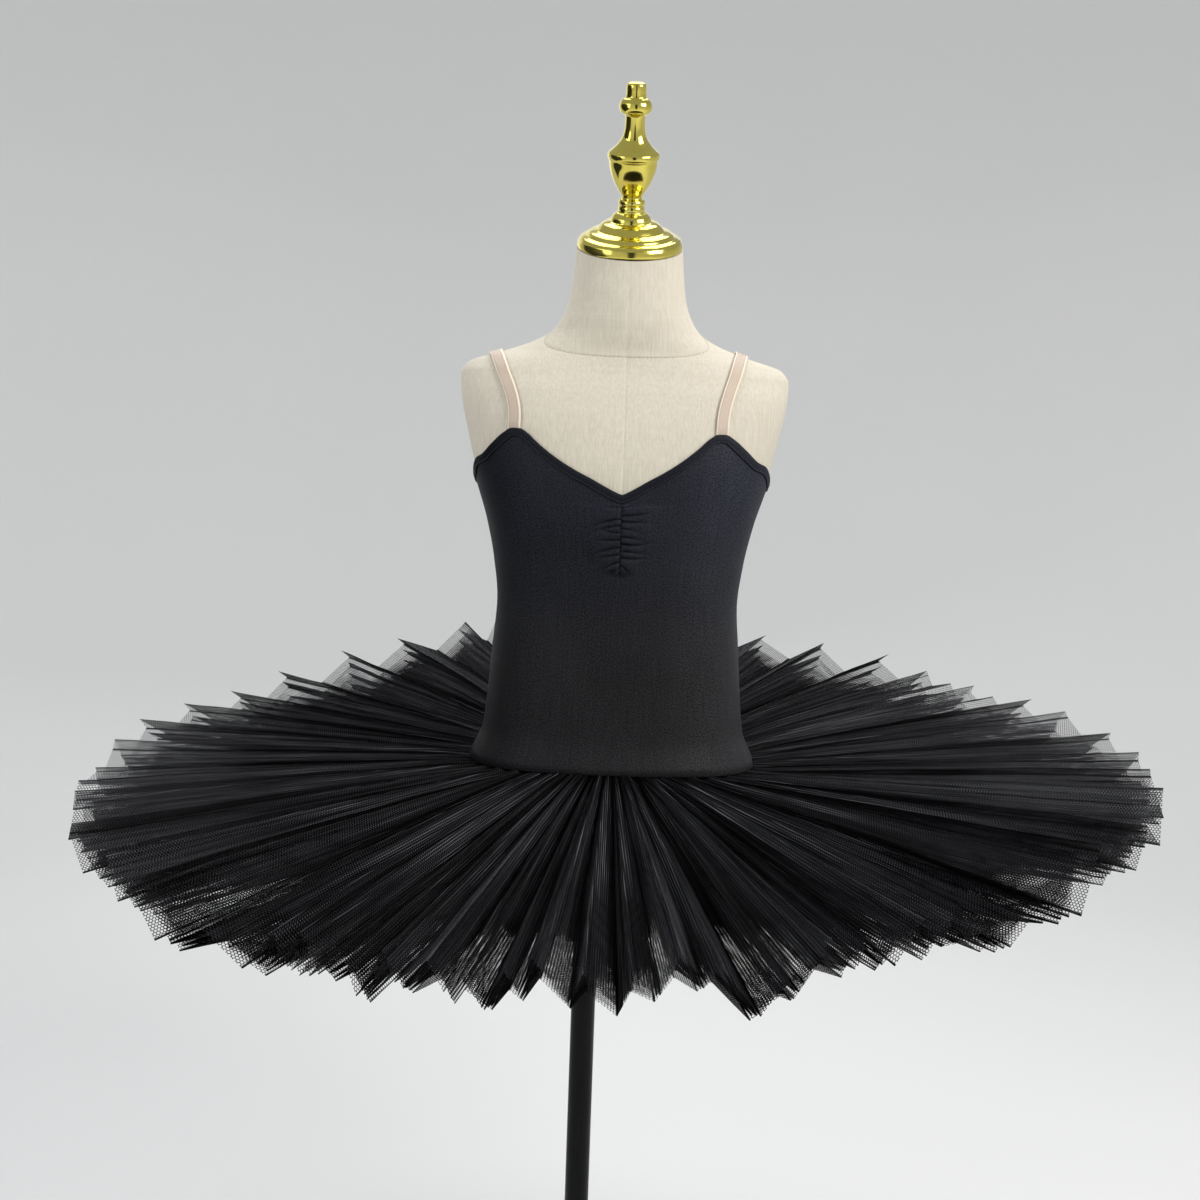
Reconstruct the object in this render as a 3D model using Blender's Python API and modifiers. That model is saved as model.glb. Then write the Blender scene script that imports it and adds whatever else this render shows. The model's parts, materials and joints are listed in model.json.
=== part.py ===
"""Child's ballet tutu on a limbless dress form with a neck finial, pole and base plate.

Metres, +Z up, the front faces -Y. The origin is on the floor under the form's axis.
Heights in the tables are measured from the hip seam, where the skirt leaves the body.
"""

import math
import random
from collections import namedtuple

import bmesh
import bpy

# Driving dimensions
SEAM_HEIGHT = 0.700          # hip seam above the floor
CLOTH_GAP = 0.0012           # between the form and the cloth
JERSEY_WALL = 0.0014         # bodice, brief and gusset
PIECE_GAP = 0.0004           # between neighbouring pieces

BAND_WIDTH = 0.0070          # binding along the bodice's top edge
BAND_WALL = 0.0010
SIDE_EDGE_HEIGHT = 0.2370    # top edge at the side seams
SIDE_STEP = math.radians(10) # between columns beyond the edge tables
HEM_FLARE = 0.0065           # the bodice hem stands off over the net's header
FLARE_HEIGHT = 0.028

BACK_ROW_SHARES = (0.0, 0.06, 0.12, 0.27, 0.45, 0.63, 0.81, 1.0)   # of the height below the binding

GATHER_TOP = 0.2165          # pinched centre front
GATHER_BOTTOM = 0.1625
GATHER_COUNT = 8
GATHER_HEIGHT = 0.0015       # raised on the outer side
GATHER_REACH = 0.026         # to each side of the centre seam

STRAP_WIDTH = 0.010
STRAP_WALL = 0.0012
STRAP_FRONT_X = 0.083        # ends behind the front and back peaks of the binding
STRAP_TOP_X = 0.101          # where it crosses the shoulder
STRAP_BACK_X = 0.074
STRAP_STEPS = 22

BRIEF_TOP = 0.012            # the brief starts under the flared hem
LEG_TOP = -0.056             # top of the leg opening at the side
CROTCH_X = 0.0185            # the crotch lies beside the pole
CROTCH_WIDTH = 0.033
CROTCH_JOIN = -0.112         # seam between the brief panels and the gusset

NET_LAYERS = 5
NET_PLEATS = 38              # in each layer
NET_WALL = 0.0014            # straight up through the layer
NET_FIRST_ROW = -0.0062      # stitching row of the top layer
NET_ROW_STEP = 0.009
NET_HEADER = 0.0105          # the gathered header runs level under the hem
NET_RADIUS = 0.429
NET_RADIUS_STEP = 0.0035     # each layer below the second is cut shorter
NET_RADIUS_VARY = 0.010
NET_CENTRE_X = 0.002         # the skirt stands out a little further on this side
NET_RISE = 0.003             # mean height of the top layer's edge at the sides
NET_SIDE_TILT = 0.018        # higher at +X, lower at -X
NET_BACK_RISE = 0.056
NET_FRONT_DROP = 0.020
NET_SPACING_BACK = 0.0100    # between the layers' edges
NET_SPACING_FRONT = 0.0036
NET_FOLD_HIP = 0.0040        # pleat height, ridge to valley
NET_FOLD_EDGE = 0.024
NET_RINGS = (0.0, 0.4, 1.0)  # shares of the width beyond the header
NET_SEED = 11

FORM_BOTTOM = -0.130         # underside of the form
FORM_CORNER = 0.012          # radius of its lower edge
FORM_SIDES = 32
FORM_RINGS_BELOW_WAIST = 6
NECK_TILT = math.radians(25)  # the neck's flat top and its finial lean forward
NECK_TILT_FROM = 0.366       # height where the neck starts to lean

POLE_X = -0.017              # the pole passes beside the crotch
POLE_RADIUS = 0.0105
POLE_SIDES = 20
COLLAR_RADIUS = 0.0145
COLLAR_LENGTH = 0.034
BASE_RADIUS = 0.155
BASE_THICKNESS = 0.010
BASE_CHAMFER = 0.003
BOSS_RADIUS = 0.022
BOSS_HEIGHT = 0.016
BASE_STEPS = 32
FINIAL_STEPS = 16

# The form from its underside to the top of the neck
Section = namedtuple("Section", "height half_width half_depth centre_y squareness")
BODY = (
    Section(-0.130, 0.1080, 0.0850, 0.000, 2.30),
    Section(-0.075, 0.1160, 0.0900, 0.000, 2.30),
    Section(-0.030, 0.1155, 0.0890, 0.000, 2.30),
    Section(0.000, 0.1125, 0.0865, 0.000, 2.30),
    Section(0.040, 0.1070, 0.0815, 0.000, 2.25),
    Section(0.100, 0.1020, 0.0755, 0.000, 2.20),
    Section(0.135, 0.0995, 0.0735, 0.000, 2.20),
    Section(0.168, 0.1030, 0.0750, 0.000, 2.20),
    Section(0.202, 0.1100, 0.0780, 0.000, 2.25),
    Section(0.236, 0.1204, 0.0785, 0.001, 2.35),
    Section(0.274, 0.1300, 0.0735, 0.003, 2.50),
    Section(0.305, 0.1365, 0.0650, 0.006, 2.60),
    Section(0.322, 0.1378, 0.0580, 0.008, 2.50),
    Section(0.332, 0.1320, 0.0535, 0.008, 2.25),
    Section(0.341, 0.1050, 0.0500, 0.006, 1.95),
    Section(0.350, 0.0790, 0.0495, 0.003, 1.85),
    Section(0.358, 0.0640, 0.0490, 0.001, 1.90),
    Section(0.366, 0.0565, 0.0475, -0.001, 2.00),
    Section(0.384, 0.0490, 0.0455, -0.002, 2.00),
    Section(0.404, 0.0460, 0.0445, -0.003, 2.00),
    Section(0.4290, 0.0440, 0.0440, -0.003, 2.00),
)

# Top edge of the bodice from the centre towards the side seam
EdgePoint = namedtuple("EdgePoint", "across height")
FRONT_EDGE = (
    EdgePoint(0.000, 0.2246),
    EdgePoint(0.005, 0.2266),
    EdgePoint(0.012, 0.2302),
    EdgePoint(0.022, 0.2358),
    EdgePoint(0.0365, 0.2435),
    EdgePoint(0.050, 0.2520),
    EdgePoint(0.064, 0.2628),
    EdgePoint(0.073, 0.2710),
    EdgePoint(0.079, 0.2745),
    EdgePoint(0.085, 0.2748),
    EdgePoint(0.092, 0.2712),
    EdgePoint(0.101, 0.2635),
    EdgePoint(0.111, 0.2540),
)
BACK_EDGE = (
    EdgePoint(0.000, 0.1980),
    EdgePoint(0.016, 0.1995),
    EdgePoint(0.031, 0.2055),
    EdgePoint(0.045, 0.2165),
    EdgePoint(0.057, 0.2310),
    EdgePoint(0.066, 0.2432),
    EdgePoint(0.071, 0.2475),
    EdgePoint(0.077, 0.2475),
    EdgePoint(0.085, 0.2455),
    EdgePoint(0.096, 0.2425),
)

# Turned neck finial, top to bottom
Turn = namedtuple("Turn", "height radius")
FINIAL = (
    Turn(0.1257, 0.0000),
    Turn(0.1253, 0.0063),
    Turn(0.1239, 0.0076),
    Turn(0.1134, 0.0076),
    Turn(0.1115, 0.0103),
    Turn(0.1064, 0.0126),
    Turn(0.1018, 0.0108),
    Turn(0.0990, 0.0077),
    Turn(0.0887, 0.0078),
    Turn(0.0822, 0.0092),
    Turn(0.0762, 0.0130),
    Turn(0.0694, 0.0200),
    Turn(0.0657, 0.0203),
    Turn(0.0640, 0.0192),
    Turn(0.0585, 0.0186),
    Turn(0.0525, 0.0166),
    Turn(0.0465, 0.0136),
    Turn(0.0371, 0.0079),
    Turn(0.0348, 0.0107),
    Turn(0.0314, 0.0107),
    Turn(0.0299, 0.0099),
    Turn(0.0285, 0.0108),
    Turn(0.0252, 0.0108),
    Turn(0.0213, 0.0153),
    Turn(0.0185, 0.0165),
    Turn(0.0169, 0.0171),
    Turn(0.0156, 0.0224),
    Turn(0.0102, 0.0276),
    Turn(0.0092, 0.0328),
    Turn(0.0068, 0.0362),
    Turn(0.0058, 0.0394),
    Turn(0.0030, 0.0432),
    Turn(0.0008, 0.0438),
    Turn(0.0000, 0.0430),
    Turn(0.0000, 0.0000),
)


# Working out points


def blend(low, high, share):
    return low + (high - low) * share


def smooth(share):
    """Rises from 0 to 1 with level ends."""
    share = min(1.0, max(0.0, share))
    return share * share * (3 - 2 * share)


def curve_through(rows, column, at):
    """Monotone cubic through one column of a table whose first column rises."""
    places = [row[0] for row in rows]
    values = [getattr(row, column) for row in rows]
    at = min(places[-1], max(places[0], at))
    k = max(i for i in range(len(rows) - 1) if places[i] <= at)
    steps = [after - before for before, after in zip(places, places[1:])]
    slopes = [(values[i + 1] - values[i]) / step for i, step in enumerate(steps)]

    def tangent(i):
        if i == 0 or i == len(slopes):
            return slopes[min(i, len(slopes) - 1)]
        if slopes[i - 1] * slopes[i] <= 0:
            return 0.0
        return 2 * slopes[i - 1] * slopes[i] / (slopes[i - 1] + slopes[i])

    t = (at - places[k]) / steps[k]
    return (
        values[k] * (1 + 2 * t) * (1 - t) ** 2
        + tangent(k) * steps[k] * t * (1 - t) ** 2
        + values[k + 1] * t * t * (3 - 2 * t)
        + tangent(k + 1) * steps[k] * t * t * (t - 1)
    )


def section(height):
    """The form's section at a height."""
    return Section(height, *(curve_through(BODY, name, height) for name in Section._fields[1:]))


def signed_power(value, power):
    return math.copysign(abs(value) ** power, value)


def body_point(angle, height, out=0.0):
    """A point on the form, moved out level. Angle 0 is the front and 90 degrees is +X."""
    s = section(height)
    side = signed_power(math.sin(angle), 2 / s.squareness)
    front = signed_power(math.cos(angle), 2 / s.squareness)
    normal_x = signed_power(side, s.squareness - 1) / s.half_width
    normal_y = -signed_power(front, s.squareness - 1) / s.half_depth
    length = math.hypot(normal_x, normal_y)
    x = s.half_width * side + out * normal_x / length
    y = s.centre_y - s.half_depth * front + out * normal_y / length
    return (x, y, height)


def angle_at(across, height):
    """The angle from the front at which the section lies this far to +X."""
    s = section(height)
    return math.asin((across / s.half_width) ** (s.squareness / 2))


def depth_at(across, height):
    """Half the form's depth at a distance from the middle."""
    s = section(height)
    return s.half_depth * (1 - abs(across / s.half_width) ** s.squareness) ** (1 / s.squareness)


def fullness(x, y, z):
    """Below 1 inside the form and above 1 outside it."""
    s = section(z)
    return abs(x / s.half_width) ** s.squareness + abs((y - s.centre_y) / s.half_depth) ** s.squareness


def lifted(point, out):
    """A point of the form's surface, moved out square to it."""
    step = 1e-5
    x, y, z = point
    here = fullness(x, y, z)
    slope = (
        fullness(x + step, y, z) - here,
        fullness(x, y + step, z) - here,
        fullness(x, y, z + step) - here,
    )
    length = math.hypot(*slope)
    return tuple(value + out * rise / length for value, rise in zip(point, slope))


# Building objects


def material(name, colour, roughness, metallic=0.0):
    made = bpy.data.materials.new(name)
    made.use_nodes = True
    shader = made.node_tree.nodes["Principled BSDF"]
    shader.inputs["Base Color"].default_value = (*colour, 1.0)
    shader.inputs["Roughness"].default_value = roughness
    shader.inputs["Metallic"].default_value = metallic
    return made


def add_object(name, mesh, finish, parent=None):
    mesh.materials.append(finish)
    made = bpy.data.objects.new(name, mesh)
    made.parent = parent
    parts.objects.link(made)
    return made


def grid_mesh(name, rows, closed=False):
    """An open surface through equal rows of points. A closed one joins each row's ends."""
    count = len(rows[0])
    spans = count if closed else count - 1
    faces = [
        (r * count + c, r * count + (c + 1) % count, (r + 1) * count + (c + 1) % count, (r + 1) * count + c)
        for r in range(len(rows) - 1)
        for c in range(spans)
    ]
    mesh = bpy.data.meshes.new(name)
    mesh.from_pydata([point for row in rows for point in row], [], faces)
    return mesh


def add_cloth(name, rows, wall, finish, parent, closed=False, mirrored=False, raised=None):
    """A cloth piece. The rows lie on its inner side, and the wall is added outside them.

    A mirrored piece has rows for its +X half. Raised holds extra outer thickness for each point.
    """
    piece = add_object(name, grid_mesh(name, rows, closed), finish, parent)
    if mirrored:
        mirror = piece.modifiers.new("both halves", "MIRROR")
        mirror.use_clip = True
        mirror.merge_threshold = 0.0001
    solid = piece.modifiers.new("wall", "SOLIDIFY")
    solid.thickness = wall
    solid.offset = 1.0
    if raised:
        extra = [value for row in raised for value in row]
        solid.thickness = wall + max(extra)
        group = piece.vertex_groups.new(name="raised")
        solid.vertex_group = group.name
        for index, value in enumerate(extra):
            group.add([index], (wall + value) / solid.thickness, "REPLACE")
    return piece


def add_turned(name, profile, steps, finish, location, parent=None):
    """A solid of revolution from a profile that runs down its outer side."""
    mesh = bpy.data.meshes.new(name)
    points = [(turn.radius, 0.0, turn.height) for turn in profile]
    mesh.from_pydata(points, [(i, i + 1) for i in range(len(points) - 1)], [])
    turned = add_object(name, mesh, finish, parent)
    turned.location = location
    screw = turned.modifiers.new("turn", "SCREW")
    screw.steps = screw.render_steps = steps
    screw.use_merge_vertices = True
    screw.merge_threshold = 0.0001
    return turned


# Bodice and bindings


def gather(across, centre_height):
    """The pinched centre front: ridges that start at the seam and fade to both sides."""
    share = (centre_height - GATHER_BOTTOM) / (GATHER_TOP - GATHER_BOTTOM)
    if not 0 < share < 1:
        return 0.0
    ridge = 0.5 - 0.5 * math.cos(2 * math.pi * GATHER_COUNT * share)
    beside_seam = blend(0.35, 1.0, smooth(across / 0.005))
    return GATHER_HEIGHT * ridge * beside_seam * (1 - smooth(across / GATHER_REACH))


def flare(height):
    """How far the hem stands off the body."""
    return HEM_FLARE * smooth((FLARE_HEIGHT - height) / FLARE_HEIGHT)


def edge_columns(edge):
    """Angle and top height of each column of half a panel, from its centre to the side seam."""
    columns = [(angle_at(point.across, point.height), point.height) for point in edge]
    last_angle, last_height = columns[-1]
    count = math.ceil((math.pi / 2 - last_angle) / SIDE_STEP)
    for i in range(1, count + 1):
        share = i / count
        height = blend(last_height, SIDE_EDGE_HEIGHT, smooth(share))
        columns.append((blend(last_angle, math.pi / 2, share), height))
    return columns


def panel_point(angle, height, out, facing):
    """A point over the form on the front (facing 1) or the back (-1), just short of the side seam."""
    x, y, z = body_point(angle if facing > 0 else math.pi - angle, height, out)
    return (max(x, 0.0), y - facing * PIECE_GAP / 2, z)


def outward(rows, facing):
    """Rows ordered so that the piece's faces look away from the form."""
    return rows if facing > 0 else [row[::-1] for row in rows]


def front_row_shares():
    """Shares of the height below the binding, with a row on each ridge and in each valley."""
    centre_height = FRONT_EDGE[0].height - BAND_WIDTH
    step = (GATHER_TOP - GATHER_BOTTOM) / (2 * GATHER_COUNT)
    ridges = [(GATHER_BOTTOM + step * i) / centre_height for i in range(2 * GATHER_COUNT + 1)]
    return [0.0, 0.05, 0.11, 0.3, 0.52] + ridges


def bodice_rows(edge, shares, facing):
    """Rows from the hem to the binding's lower edge, and one along the top edge behind it."""
    rows = []
    for share in shares:
        row = []
        for angle, top in edge_columns(edge):
            height = share * (top - BAND_WIDTH)
            row.append(panel_point(angle, height, CLOTH_GAP + flare(height), facing))
        rows.append(row)
    rows.append([panel_point(angle, top, CLOTH_GAP, facing) for angle, top in edge_columns(edge)])
    return rows


def add_bodice_front(finish, parent):
    shares = front_row_shares()
    rows = bodice_rows(FRONT_EDGE, shares, 1)
    raised = [[gather(point[0], row[0][2]) for point in row] for row in rows[:-1]]
    raised.append([0.0] * len(rows[-1]))
    return add_cloth("bodice_front", rows, JERSEY_WALL, finish, parent, mirrored=True, raised=raised)


def add_bodice_back(finish, parent):
    rows = bodice_rows(BACK_EDGE, BACK_ROW_SHARES, -1)
    return add_cloth("bodice_back", outward(rows, -1), JERSEY_WALL, finish, parent, mirrored=True)


def add_binding(name, edge, facing, finish, parent):
    """A band over the panel's top edge, made from the panel's own points moved out."""
    out = CLOTH_GAP + JERSEY_WALL + PIECE_GAP
    rows = [
        [panel_point(angle, top + above, out, facing) for angle, top in edge_columns(edge)]
        for above in (-BAND_WIDTH, BAND_WALL)
    ]
    return add_cloth(name, outward(rows, facing), BAND_WALL, finish, parent, mirrored=True)


# Brief and gusset


def crotch_lines():
    """Distances from the middle of the four lines along the crotch."""
    return [CROTCH_X + CROTCH_WIDTH * share for share in (-0.5, -0.17, 0.17, 0.5)]


def leg_height(angle, crotch_start, crotch_end):
    """Lower edge of a brief panel: level at the crotch, then round the leg up to the side."""
    if crotch_start <= angle <= crotch_end:
        return CROTCH_JOIN
    if angle > crotch_end:
        share = (angle - crotch_end) / (math.pi / 2 - crotch_end)
    else:
        share = (crotch_start - angle) / (math.pi / 2 + crotch_start)
    return blend(CROTCH_JOIN, LEG_TOP, smooth(share) ** 0.55)


def add_brief(name, facing, finish, parent):
    """Front or back of the brief, which carries the rows of net."""
    crotch = [angle_at(x, CROTCH_JOIN) for x in crotch_lines()]
    left = [math.radians(degrees) for degrees in (24, 33, 43, 53, 63, 72, 81, 90)]
    right = [math.radians(degrees) for degrees in (-90, -81, -72, -63, -53, -43, -33, -23, -13, -5)]
    rows = []
    for share in (0.0, 0.3, 0.62, 1.0):
        row = []
        for angle in right + crotch + left:
            height = blend(leg_height(angle, crotch[0], crotch[-1]), BRIEF_TOP, share)
            x, y, z = body_point(angle if facing > 0 else math.pi - angle, height, CLOTH_GAP)
            row.append((x, y - facing * PIECE_GAP / 2, z))
        rows.append(row)
    return add_cloth(name, outward(rows, facing), JERSEY_WALL, finish, parent)


def under_form(across):
    """Half the gusset's line at a distance from the middle: down, round the edge, to the centre."""
    side = depth_at(across, FORM_BOTTOM + FORM_CORNER) - FORM_CORNER
    radius = FORM_CORNER + CLOTH_GAP
    line = [(side + radius, CROTCH_JOIN - PIECE_GAP)]
    for turn in (0, 22.5, 45, 67.5, 90):
        angle = math.radians(turn)
        line.append((side + radius * math.cos(angle), FORM_BOTTOM + FORM_CORNER - radius * math.sin(angle)))
    line += [(side * share, FORM_BOTTOM - CLOTH_GAP) for share in (0.66, 0.33, 0.0)]
    return line


def add_gusset(finish, parent):
    """The crotch strip that joins front and back under the form, beside the pole."""
    lines = []
    for x in crotch_lines():
        half = under_form(x)
        front = [(x, -y, z) for y, z in half]
        back = [(x, y, z) for y, z in half[-2::-1]]
        lines.append(front + back)
    rows = [list(row) for row in zip(*lines)]
    return add_cloth("gusset", rows[::-1], JERSEY_WALL, finish, parent)


# Shoulder straps


def over_shoulder(across, share):
    """The form's surface on a ray that turns from level front (0) over the top to level back (1)."""
    turn = math.pi * share
    lift = BAND_WALL + 3 * PIECE_GAP
    front = curve_through(FRONT_EDGE, "height", STRAP_FRONT_X) + lift
    back = curve_through(BACK_EDGE, "height", STRAP_BACK_X) + lift
    start_y, start_z = section(front).centre_y, blend(front, back, share)
    near, far = 0.0, 0.12
    for _ in range(40):
        reach = (near + far) / 2
        y = start_y - reach * math.cos(turn)
        z = start_z + reach * math.sin(turn)
        if fullness(across, y, z) < 1:
            near = reach
        else:
            far = reach
    return (across, y, z)


def add_strap(name, side, finish, parent):
    rows = []
    for i in range(STRAP_STEPS + 1):
        share = i / STRAP_STEPS
        middle = blend(STRAP_FRONT_X, STRAP_BACK_X, share)
        middle = blend(middle, STRAP_TOP_X, math.sin(math.pi * share) ** 2)
        points = [over_shoulder(middle + STRAP_WIDTH * half, share) for half in (-0.5, 0.0, 0.5)]
        row = [lifted(point, CLOTH_GAP) for point in points]
        rows.append([(side * x, y, z) for x, y, z in row][::side])
    return add_cloth(name, rows, STRAP_WALL, finish, parent)


# Net


def pleat_folds():
    """For each ridge and valley: its share of the round, and how far its height and reach vary."""
    dice = random.Random(NET_SEED)
    widths = [1 + 0.36 * (dice.random() - 0.5) for _ in range(2 * NET_PLEATS)]
    total, at, folds = sum(widths), 0.0, []
    for width in widths:
        folds.append((at / total, 1 + 0.4 * (dice.random() - 0.5), dice.random() - 0.5))
        at += width
    return folds


def hip_angle(height, share, count=360):
    """The angle at a share of the way round the hip, so that the net is gathered evenly."""
    points = [body_point(2 * math.pi * i / count, height) for i in range(count + 1)]
    lengths = [math.dist(before, after) for before, after in zip(points, points[1:])]
    wanted = share * sum(lengths)
    for i, length in enumerate(lengths):
        if wanted <= length:
            return 2 * math.pi * (i + wanted / length) / count
        wanted -= length
    return 2 * math.pi


def net_radius(layer):
    return NET_RADIUS - NET_RADIUS_STEP * max(0, layer - 1)


def edge_height(layer, angle):
    """Middle height of a layer's outer edge."""
    front = math.cos(angle)
    top = NET_RISE + NET_SIDE_TILT * math.sin(angle) * (1 + front / 2)
    top += NET_BACK_RISE * max(0.0, -front) ** 2 - NET_FRONT_DROP * max(0.0, front) ** 3
    spacing = blend(NET_SPACING_BACK, NET_SPACING_FRONT, smooth((front + 0.3) / 1.3))
    return top - layer * spacing


def net_fold_line(layer, fold, is_ridge):
    """One ridge or valley of a layer, from the brief out to the edge."""
    share, tallness, reach = fold
    row_height = NET_FIRST_ROW - layer * NET_ROW_STEP
    inner = body_point(hip_angle(row_height, share), row_height, CLOTH_GAP + JERSEY_WALL + 2 * PIECE_GAP)
    angle = 2 * math.pi * share
    radius = net_radius(layer) + NET_RADIUS_VARY * reach
    outer = (NET_CENTRE_X + radius * math.sin(angle), -radius * math.cos(angle))
    header = NET_HEADER / math.dist(inner[:2], outer)
    bend = 0.9 + 0.3 * math.cos(angle)
    line = []
    for ring in (None, *NET_RINGS):
        rising = ring or 0.0
        along = 0.0 if ring is None else blend(header, 1.0, ring)
        middle = blend(row_height, edge_height(layer, angle), rising**bend)
        fold_height = blend(NET_FOLD_HIP, NET_FOLD_EDGE * tallness, rising**0.8)
        height = middle + (fold_height / 2 if is_ridge else -fold_height / 2)
        line.append((blend(inner[0], outer[0], along), blend(inner[1], outer[1], along), height))
    return line


def add_net_layer(layer, folds, finish, parent):
    """A gathered ring of stiff net, pleated from the hip to its edge."""
    lines = [net_fold_line(layer, fold, i % 2 == 1) for i, fold in enumerate(folds)]
    rows = [list(row) for row in zip(*lines)]
    return add_cloth(f"net_layer_{layer + 1}", rows[::-1], NET_WALL, finish, parent, closed=True)


# Dress form and stand


def leaned(point, height):
    """A point of the form's ring at a height, turned about the ring's centre as the neck leans forward."""
    share = (height - NECK_TILT_FROM) / (BODY[-1].height - NECK_TILT_FROM)
    tilt = NECK_TILT * smooth(share)
    x, y, z = point
    behind = y - section(height).centre_y
    return (x, y - behind * (1 - math.cos(tilt)), z + behind * math.sin(tilt))


def form_rings():
    """Height and inset of each ring, closest together where the outline bends."""
    waist = 0.1
    rings = [(FORM_BOTTOM + FORM_CORNER * rise, FORM_CORNER * inset) for rise, inset in ((0, 1), (0.29, 0.29), (1, 0))]
    first = rings[-1][0]
    rings += [(blend(first, waist, i / FORM_RINGS_BELOW_WAIST), 0.0) for i in range(1, FORM_RINGS_BELOW_WAIST)]
    above = [s.height for s in BODY if s.height >= waist]
    for low, high in zip(above, above[1:]):
        rings.append((low, 0.0))
        if high - low > 0.03:
            rings.append(((low + high) / 2, 0.0))
    return rings + [(above[-1], 0.0)]


def add_form(finish, parent):
    """The form as a loft of its sections, with a rounded lower edge and flat ends."""
    rows = [
        [leaned(body_point(2 * math.pi * i / FORM_SIDES, height, -inset), height) for i in range(FORM_SIDES)]
        for height, inset in form_rings()
    ]
    mesh = grid_mesh("dress_form", rows, closed=True)
    shell = bmesh.new()
    shell.from_mesh(mesh)
    bmesh.ops.holes_fill(shell, edges=[edge for edge in shell.edges if edge.is_boundary], sides=0)
    bmesh.ops.recalc_face_normals(shell, faces=shell.faces)
    shell.to_mesh(mesh)
    shell.free()
    mesh.shade_smooth()
    return add_object("dress_form", mesh, finish, parent)


def add_cylinder(name, radius, bottom, top, sides, finish):
    bpy.ops.mesh.primitive_cylinder_add(
        vertices=sides, radius=radius, depth=top - bottom, location=(POLE_X, 0, (top + bottom) / 2)
    )
    made = bpy.context.object
    made.name = made.data.name = name
    made.data.materials.append(finish)
    for holder in made.users_collection:
        holder.objects.unlink(made)
    parts.objects.link(made)
    return made


def add_stand(finish):
    """Collar under the form, pole and base plate, all on the pole's line."""
    collar_top = SEAM_HEIGHT + FORM_BOTTOM - PIECE_GAP
    pole_top = collar_top - COLLAR_LENGTH - PIECE_GAP
    boss_top = BASE_THICKNESS + BOSS_HEIGHT
    add_cylinder("pole_collar", COLLAR_RADIUS, collar_top - COLLAR_LENGTH, collar_top, POLE_SIDES, finish["collar"])
    add_cylinder("pole", POLE_RADIUS, boss_top + PIECE_GAP, pole_top, POLE_SIDES, finish["pole"])
    plate = (
        Turn(boss_top, 0.0),
        Turn(boss_top, BOSS_RADIUS - BASE_CHAMFER),
        Turn(boss_top - BASE_CHAMFER, BOSS_RADIUS),
        Turn(BASE_THICKNESS, BOSS_RADIUS),
        Turn(BASE_THICKNESS, BASE_RADIUS - BASE_CHAMFER),
        Turn(BASE_THICKNESS - BASE_CHAMFER, BASE_RADIUS),
        Turn(0.0, BASE_RADIUS),
        Turn(0.0, 0.0),
    )
    add_turned("base_plate", plate, BASE_STEPS, finish["base"], (POLE_X, 0, 0))


def main():
    finish = {
        "jersey": material("black_jersey", (0.022, 0.023, 0.030), 0.62),
        "band": material("black_binding", (0.016, 0.016, 0.022), 0.55),
        "elastic": material("nude_elastic", (0.62, 0.46, 0.36), 0.60),
        "brief": material("brief_jersey", (0.022, 0.023, 0.030), 0.65),
        "net": material("black_net", (0.010, 0.010, 0.012), 0.75),
        "linen": material("cream_linen", (0.66, 0.61, 0.48), 0.85),
        "gold": material("plated_gold", (0.80, 0.68, 0.20), 0.15, 1.0),
        "pole": material("pole_black", (0.012, 0.012, 0.014), 0.40, 0.6),
        "collar": material("collar_black", (0.012, 0.012, 0.014), 0.45, 0.6),
        "base": material("base_black", (0.014, 0.014, 0.015), 0.50, 0.6),
    }
    hip = bpy.data.objects.new("hip_seam", None)
    hip.location = (0, 0, SEAM_HEIGHT)
    parts.objects.link(hip)
    add_bodice_front(finish["jersey"], hip)
    add_bodice_back(finish["jersey"], hip)
    add_binding("binding_front", FRONT_EDGE, 1, finish["band"], hip)
    add_binding("binding_back", BACK_EDGE, -1, finish["band"], hip)
    add_strap("strap_left", 1, finish["elastic"], hip)
    add_strap("strap_right", -1, finish["elastic"], hip)
    add_brief("brief_front", 1, finish["brief"], hip)
    add_brief("brief_back", -1, finish["brief"], hip)
    add_gusset(finish["brief"], hip)
    folds = pleat_folds()
    for layer in range(NET_LAYERS):
        add_net_layer(layer, folds, finish["net"], hip)
    add_form(finish["linen"], hip)
    neck = BODY[-1]
    gap_back, gap_up = -PIECE_GAP * math.sin(NECK_TILT), PIECE_GAP * math.cos(NECK_TILT)
    seat = (0, neck.centre_y + gap_back, neck.height + gap_up)
    finial = add_turned("finial", FINIAL, FINIAL_STEPS, finish["gold"], seat, hip)
    finial.rotation_euler.x = NECK_TILT
    add_stand(finish)


for leftover in list(bpy.data.objects):
    bpy.data.objects.remove(leftover)
parts = bpy.data.collections.new("ballet_tutu_on_dress_form")
bpy.context.scene.collection.children.link(parts)
main()
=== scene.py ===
import json
import math
import random

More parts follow.
